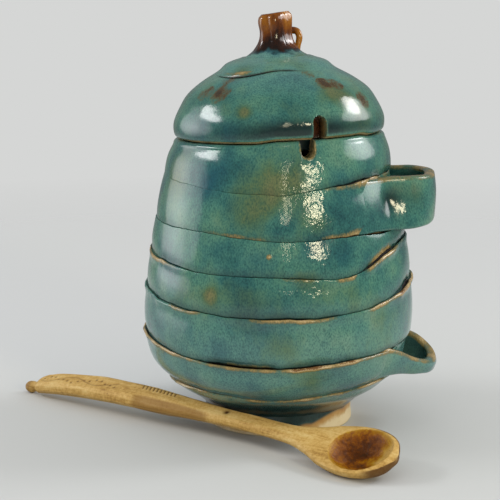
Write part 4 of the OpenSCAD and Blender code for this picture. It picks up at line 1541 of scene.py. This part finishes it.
@dataclass
class Spoon:
    """A honey spoon carved from one piece of wood, lying on its side in front of the pot."""

    pot: Pot
    length: float = 195.7
    handle_w: float = 12.4
    neck_w: float = 8.4
    bowl_w: float = 27.0
    bowl_d: float = 6.8
    bowl_t: float = 2.2
    arch_z: float = 9.4
    roll: float = 22.0
    turn: float = 126.4
    past: float = 111.96
    gap: float = 2.7
    sides: int = 112

    def rows(self) -> Rows:
        """Sizes along the spoon, from its tip.

        Returns:
            Rows of place, half width, wood above and below, and height of the spine.
        """
        sin, cos = math.sin(math.radians(self.roll)), math.cos(math.radians(self.roll))
        at_bowl, deep = self.length - 19, self.bowl_d + self.bowl_t - 1.6
        bowl_z = math.hypot(self.bowl_w / 2 * sin, deep * cos)
        tip, w, z = 2.6, self.handle_w, self.arch_z
        return (
            (0, 0.3, 0.3, 0.3, tip),
            (1.5, 2.1, 2.1, 2.1, tip),
            (4, tip, tip, tip, tip),
            (7, 1.9, 1.9, 1.9, tip + 0.9),
            (10, 0.34 * w, 3.0, 3.7, tip + 2.1),
            (26, 0.46 * w, 3.3, 4.8, 0.8 * z),
            (52, w / 2, 3.3, 5.2, z + 0.1),
            (80, 0.46 * w, 3.1, 5.4, z + 0.4),
            (self.past - 6, self.neck_w / 2, 2.6, 4.2, z + 0.1),
            (at_bowl - 41, self.neck_w / 2 - 0.1, 2.5, 3, z - 0.5),
            (at_bowl - 27, self.neck_w / 2 + 0.6, 2.5, 3.2, z - 0.8),
            (at_bowl - 18, 0.28 * self.bowl_w, 2.2, 0.65 * deep, bowl_z),
            (at_bowl - 10, 0.415 * self.bowl_w, 1.8, 0.9 * deep, bowl_z),
            (at_bowl, self.bowl_w / 2, 1.6, deep, bowl_z),
            (at_bowl + 9, 0.465 * self.bowl_w, 1.6, 0.94 * deep, bowl_z),
            (at_bowl + 15.5, 0.32 * self.bowl_w, 1.6, 0.72 * deep, bowl_z),
            (self.length, 0.09 * self.bowl_w, 1, 2.2, bowl_z),
        )

    def carving(self, s: Array, across: Array) -> Array:
        """Cut marks on the handle's face: a wavy line with dots, then a row of ticks.

        Args:
            s: Places along the spoon.
            across: Places across it.

        Returns:
            How deep the mark is at each place, from 0 to 1.
        """
        wave = 1.7 * np.sin((s - 9) / 4.6) * ease((s - 8) / 8) + 0.4
        slope = 1.7 / 4.6 * np.cos((s - 9) / 4.6)
        line = bell((across - wave) / np.sqrt(1 + slope**2), 0.3) * ease((s - 8) / 3) * ease((59 - s) / 3)
        dots = np.zeros(np.shape(line))
        for i in range(15):
            x = 13 + 3.1 * i
            offset = 0.4 - 1.5 * math.sin((x - 9) / 4.6) + 0.6 * math.cos(2.1 * i)
            dots = np.maximum(dots, bell(np.hypot(s - x, across - offset), 0.55))
        for i in range(10):
            x = 70 + 1.95 * i
            far = ease((across + 4.8) / 0.5) * ease((-1.2 - across) / 0.5)
            dots = np.maximum(dots, bell(s - x - 0.3 * (across + 3), 0.34) * far)
        return np.maximum(0.55 * line, dots)

    def loft(self) -> Loft:
        """The spoon, whose sections run along its length.

        Returns:
            A closed bar with its hollowed bowl, knife facets, knot and carving.
        """
        fine = np.concatenate([np.arange(0, 8, 0.4), np.arange(8, 92, 0.28), np.arange(92, 150, 0.8)])
        s = np.concatenate([fine, np.linspace(150, self.length, 110)])[:, None]
        p = curve(self.rows(), s[:, 0])
        half, above, under, spine = (p[:, i, None] for i in range(4))
        a = np.radians(np.linspace(0, 360, self.sides, endpoint=False))
        c, top = np.cos(a), np.sin(a) > 0.001
        across = half * c  # above 0 on the near side
        handle = ease((s - 8) / 6) * ease((146 - s) / 14)
        # The handle is planed flat above, with a chamfer along each side
        side, edge = np.clip((abs(c) - 0.62) / 0.38, 0, 1), np.clip((abs(c) - 0.86) / 0.14, 0, 1)
        plane = 1 - 0.42 * side - 0.58 * edge**1.6
        bulk = np.maximum(0, 1 - c * c)
        crest = above * (handle * plane + (1 - handle) * bulk**0.4)
        # The bowl's hollow is an oval of its own
        oval = ((s - self.length + 15.2) / 12.6) ** 2 + (across / (0.9 * self.bowl_w / 2)) ** 2
        hollow = (self.bowl_d + 0.4) * np.maximum(0, 1 - oval) ** 0.75 * ease((self.length - 1 - s) / 3)
        hollow = np.minimum(hollow, np.maximum(above + under - self.bowl_t + 0.3, 0))
        keel = bulk**0.5 * (1 - handle) + handle * np.minimum(bulk**0.5, 1.25 * (1 - abs(c)) ** 0.6)
        up = np.where(top, crest - hollow, -under * keel)
        marks = self.carving(s, across) * top * ease((0.78 - abs(c)) / 0.1)
        knot = bell(np.hypot(s - 116.4, across + 0.4), 1.15) * top
        # Knife facets: long shallow cuts, and one clear one on the near side
        cuts = 0.3 * abs(np.sin(s / 9 + 2.4 * across / np.maximum(half, 1))) * handle
        cuts = cuts * ease((abs(c) - 0.5) / 0.3)
        facet = ease((s - 66) / 8) * ease((112 - s) / 10) * ease((across - 1.2) / 2.6)
        up = up - 0.34 * marks * handle - 0.35 * knot - 0.9 * facet * top - cuts * top
        chips = 0.16 * lumps(np.stack(np.broadcast_arrays(s / 3.2, across, up), axis=-1), 2.6, 91)
        wet = np.where(top, np.clip(1.03 - oval, 0, 1) ** 0.4, 0) * (s > 150)
        body = np.stack(np.broadcast_arrays(s, across, up), axis=-1)
        up = up + chips * handle + wet * (0.3 * lumps(body, 2.3, 93) + 0.25 * lumps(body, 4.6, 94))
        roll = math.radians(self.roll)
        beside = -(across * math.cos(roll) + up * math.sin(roll))
        height = spine - across * math.sin(roll) + up * math.cos(roll)
        local = np.stack(np.broadcast_arrays(s, beside, height), axis=-1)
        local[..., 2] = np.maximum(local[..., 2], 0.0)
        side_z = self.arch_z + self.neck_w / 2 * math.sin(roll)
        out = float(self.pot.radius(np.array(side_z))) + self.neck_w / 2 * math.cos(roll) + self.gap
        turn = Matrix.Rotation(math.radians(90 - self.turn), 3, "Z")
        points = (local - np.array([self.past, out, 0])) @ np.array(turn).T
        # Honey has run dark at the far side and on the left, and light at the near right
        light = 0.42 + 0.09 * (s - self.length + 15) + 0.04 * across
        run = 0.3 * bell(s - self.length + 9.5, 4.5) * bell(across - 2.5, 1.5)
        stain = wet * (0.2 + 0.62 * np.clip(1 - light, 0, 1) + run + 0.22 * lumps(points, 3.4, 92))
        # The bowl's outside is dark at its far side and its right end
        far = ease((s - self.length + 24) / 14) * ease((-across / half + 0.2) / 0.7)
        outside = np.where(top, ease((abs(c) - 0.9) / 0.08), 1)
        dark = np.maximum(far, ease((s - self.length + 11) / 7)) * outside
        dark = np.maximum(dark, 0.5 * ease((6 - s) / 2.5))
        masks = {
            Mask.STAIN: np.clip(stain, 0, 1),
            Mask.CUT: np.clip(0.85 * marks * handle + 1.3 * knot, 0, 1),
            Mask.EDGE: np.clip(dark, 0, 1),
            # Painted shade: darker on the near-side facet
            Mask.TINT: facet * handle,
        }
        grain = np.stack(np.broadcast_arrays(s, across, up), axis=-1)
        return Loft(points, masks, ring=False, extra={"grain": grain})


# ---- the studio ----


@dataclass(frozen=True)
class Lamp:
    """A soft lamp that hangs round the pot."""

    name: str
    place: tuple[float, float, float]  # metres
    size: tuple[float, float]
    power: float
    spread: float  # degrees; a narrow one fades towards the lamp's edge
    outline: Outline = Outline.ROUND
    colour: str = "ffffff"
    sheen_only: bool = False  # seen only in reflections
    aim_z: float = 0.09

    def hang(self) -> bpy.types.Object:
        """Builds the lamp and points it at the pot's middle.

        Returns:
            The lamp.
        """
        data = bpy.data.lights.new(self.name, "AREA")
        data.shape, data.energy = self.outline.value, self.power
        data.size, data.size_y = self.size
        data.spread, data.color = math.radians(self.spread), linear(self.colour)[:3]
        obj = bpy.data.objects.new(self.name, data)
        obj.location = self.place
        ray = Vector((0, 0, self.aim_z)) - Vector(self.place)
        obj.rotation_euler = ray.to_track_quat("-Z", "Y").to_euler()
        obj.visible_diffuse = not self.sheen_only
        bpy.context.scene.collection.objects.link(obj)
        return obj


@dataclass
class Studio:
    """Floor, lamps, world and camera."""

    eye: tuple[float, float, float] = (0.0, -0.577, 0.1776)  # metres
    pitch: float = 10.4  # degrees down
    yaw: float = math.degrees(math.atan(29 / 1400))  # degrees to the left
    lens: float = 100.8
    lamps: tuple[Lamp, ...] = (
        Lamp("softbox_left", (-1.22, 0.05, 0.84), (0.8, 0.24), 1.7, 100, aim_z=0.1),
        Lamp("softbox_right", (1.16, 0.32, 0.94), (0.5, 0.5), 1.8, 100, aim_z=0.1),
        Lamp("strip_front", (0.62, -0.95, 0.4), (0.2, 0.26), 1.5, 120, Outline.SQUARE, "fff2cc"),
        Lamp("strip_thin", (0.12, -1.1, 0.42), (0.04, 0.4), 0.3, 120, Outline.SQUARE, "fff2cc", True),
        Lamp("sheen_left", (-1.6, 0.4, 0.24), (1.7, 1.5), 3.4, 70, sheen_only=True),
        Lamp("sheen_right", (1.5, 0.25, 0.76), (1.4, 0.9), 2.8, 70, sheen_only=True),
    )
    floor_colour: str = "c6c8c8"
    floor_fade: tuple[float, float] = (0.13, 0.8)  # metres from the middle
    backdrop: str = "d5d6d5"

    def floor(self) -> bpy.types.Object:
        """A wide plain floor that takes the object's shadow and fades into the backdrop.

        Returns:
            The floor.
        """
        body = bmesh.new()
        bmesh.ops.create_grid(body, x_segments=24, y_segments=24, size=3.0)
        mesh = bpy.data.meshes.new("floor")
        body.to_mesh(mesh)
        body.free()
        obj = bpy.data.objects.new("floor", mesh)
        bpy.context.scene.collection.objects.link(obj)
        g = Graph(bpy.data.materials.new("plain_paper_sheet"))
        away = g.add("VectorMath", g.add("TexCoord").outputs["Object"], operation="LENGTH")
        paper = g.add("BsdfPrincipled", named={"Base Color": self.floor_colour, "Roughness": 0.9})
        fade = g.add("MapRange", away, *self.floor_fade, 0, 1)
        g.add("OutputMaterial", g.add("MixShader", fade, paper, g.add("BsdfTransparent")))
        obj.data.materials.append(g.owner)
        return obj

    def light(self) -> None:
        """Hangs the lamps and lights the world."""
        for lamp in self.lamps:
            lamp.hang()
        world = bpy.data.worlds.new("studio")
        bpy.context.scene.world = world
        g = Graph(world)
        ray = g.add("LightPath")
        # Soft light all round, dimmer where it mirrors in the glaze, and the backdrop behind
        light, mirrored = g.add("Background", "ffffff", 0.8), g.add("Background", "ffffff", 0.22)
        seen = g.add("Background", self.backdrop, 1.0)
        mixed = g.add("MixShader", ray.outputs["Is Glossy Ray"], light, mirrored)
        g.add("OutputWorld", g.add("MixShader", ray.outputs["Is Camera Ray"], mixed, seen))
        bpy.context.scene.view_settings.view_transform = "Standard"

    def camera(self) -> None:
        """Sets the camera in front of the pot and a little above it."""
        data = bpy.data.cameras.new("camera")
        data.sensor_width, data.lens = 36.0, self.lens
        data.clip_start, data.clip_end = 0.01, 30.0
        obj = bpy.data.objects.new("camera", data)
        obj.location = self.eye
        yaw, pitch = math.radians(self.yaw), math.radians(self.pitch)
        level = math.cos(pitch)
        ahead = Vector((-math.sin(yaw) * level, math.cos(yaw) * level, -math.sin(pitch)))
        obj.rotation_euler = ahead.to_track_quat("-Z", "Y").to_euler()
        bpy.context.scene.collection.objects.link(obj)
        bpy.context.scene.camera = obj


def main() -> None:
    """Builds every piece in place of its nodes, and sets up the studio."""
    logging.basicConfig(level=logging.INFO, format="%(name)s: %(message)s")
    glaze, wood = BrushedGlaze().build(), CarvedWood().build()
    pot = Pot()
    lid, spoon = Lid(pot), Spoon(pot)
    stem = Stem(lid)
    pieces = [Piece("foot", pot.foot(), glaze, Body.POT, Slot.FOOT, ("base",))]
    for k in range(1, 8):
        pieces.append(Piece(f"strip_{k}", pot.strip(k), glaze, Body.POT, Slot.WALL, (f"band_{k}",)))
    pieces += [
        Piece("upper_strap", UpperStrap(pot).loft(), glaze, Body.POT, Slot.LOOP, ("upper_loop",)),
        Piece("lower_strap", LowerStrap(pot).loft(), glaze, Body.POT, Slot.LOOP, ("lower_loop",)),
        Piece("lid_lower_sheet", lid.skirt(), glaze, Body.LID, Slot.LID, ("lid_skirt",)),
        Piece("lid_upper_sheet", lid.cap(), glaze, Body.LID, Slot.LID, ("lid_cap",)),
        Piece("lid_inner_ring", lid.ring(), glaze, Body.LID, Slot.LID, ("lid_flange",)),
        Piece("twig_stem", stem.loft(), glaze, Body.LID, Slot.STEM, ("stem",)),
        Piece("curled_tendril", stem.tendril(), glaze, Body.LID, Slot.STEM, ("tendril",)),
        Piece("carved_spoon", spoon.loft(), wood, Body.SPOON, Slot.SPOON, ("spoon",)),
    ]
    for piece in pieces:
        piece.place()
    studio = Studio()
    studio.floor()
    studio.light()
    studio.camera()


if __name__ == "__main__":
    main()
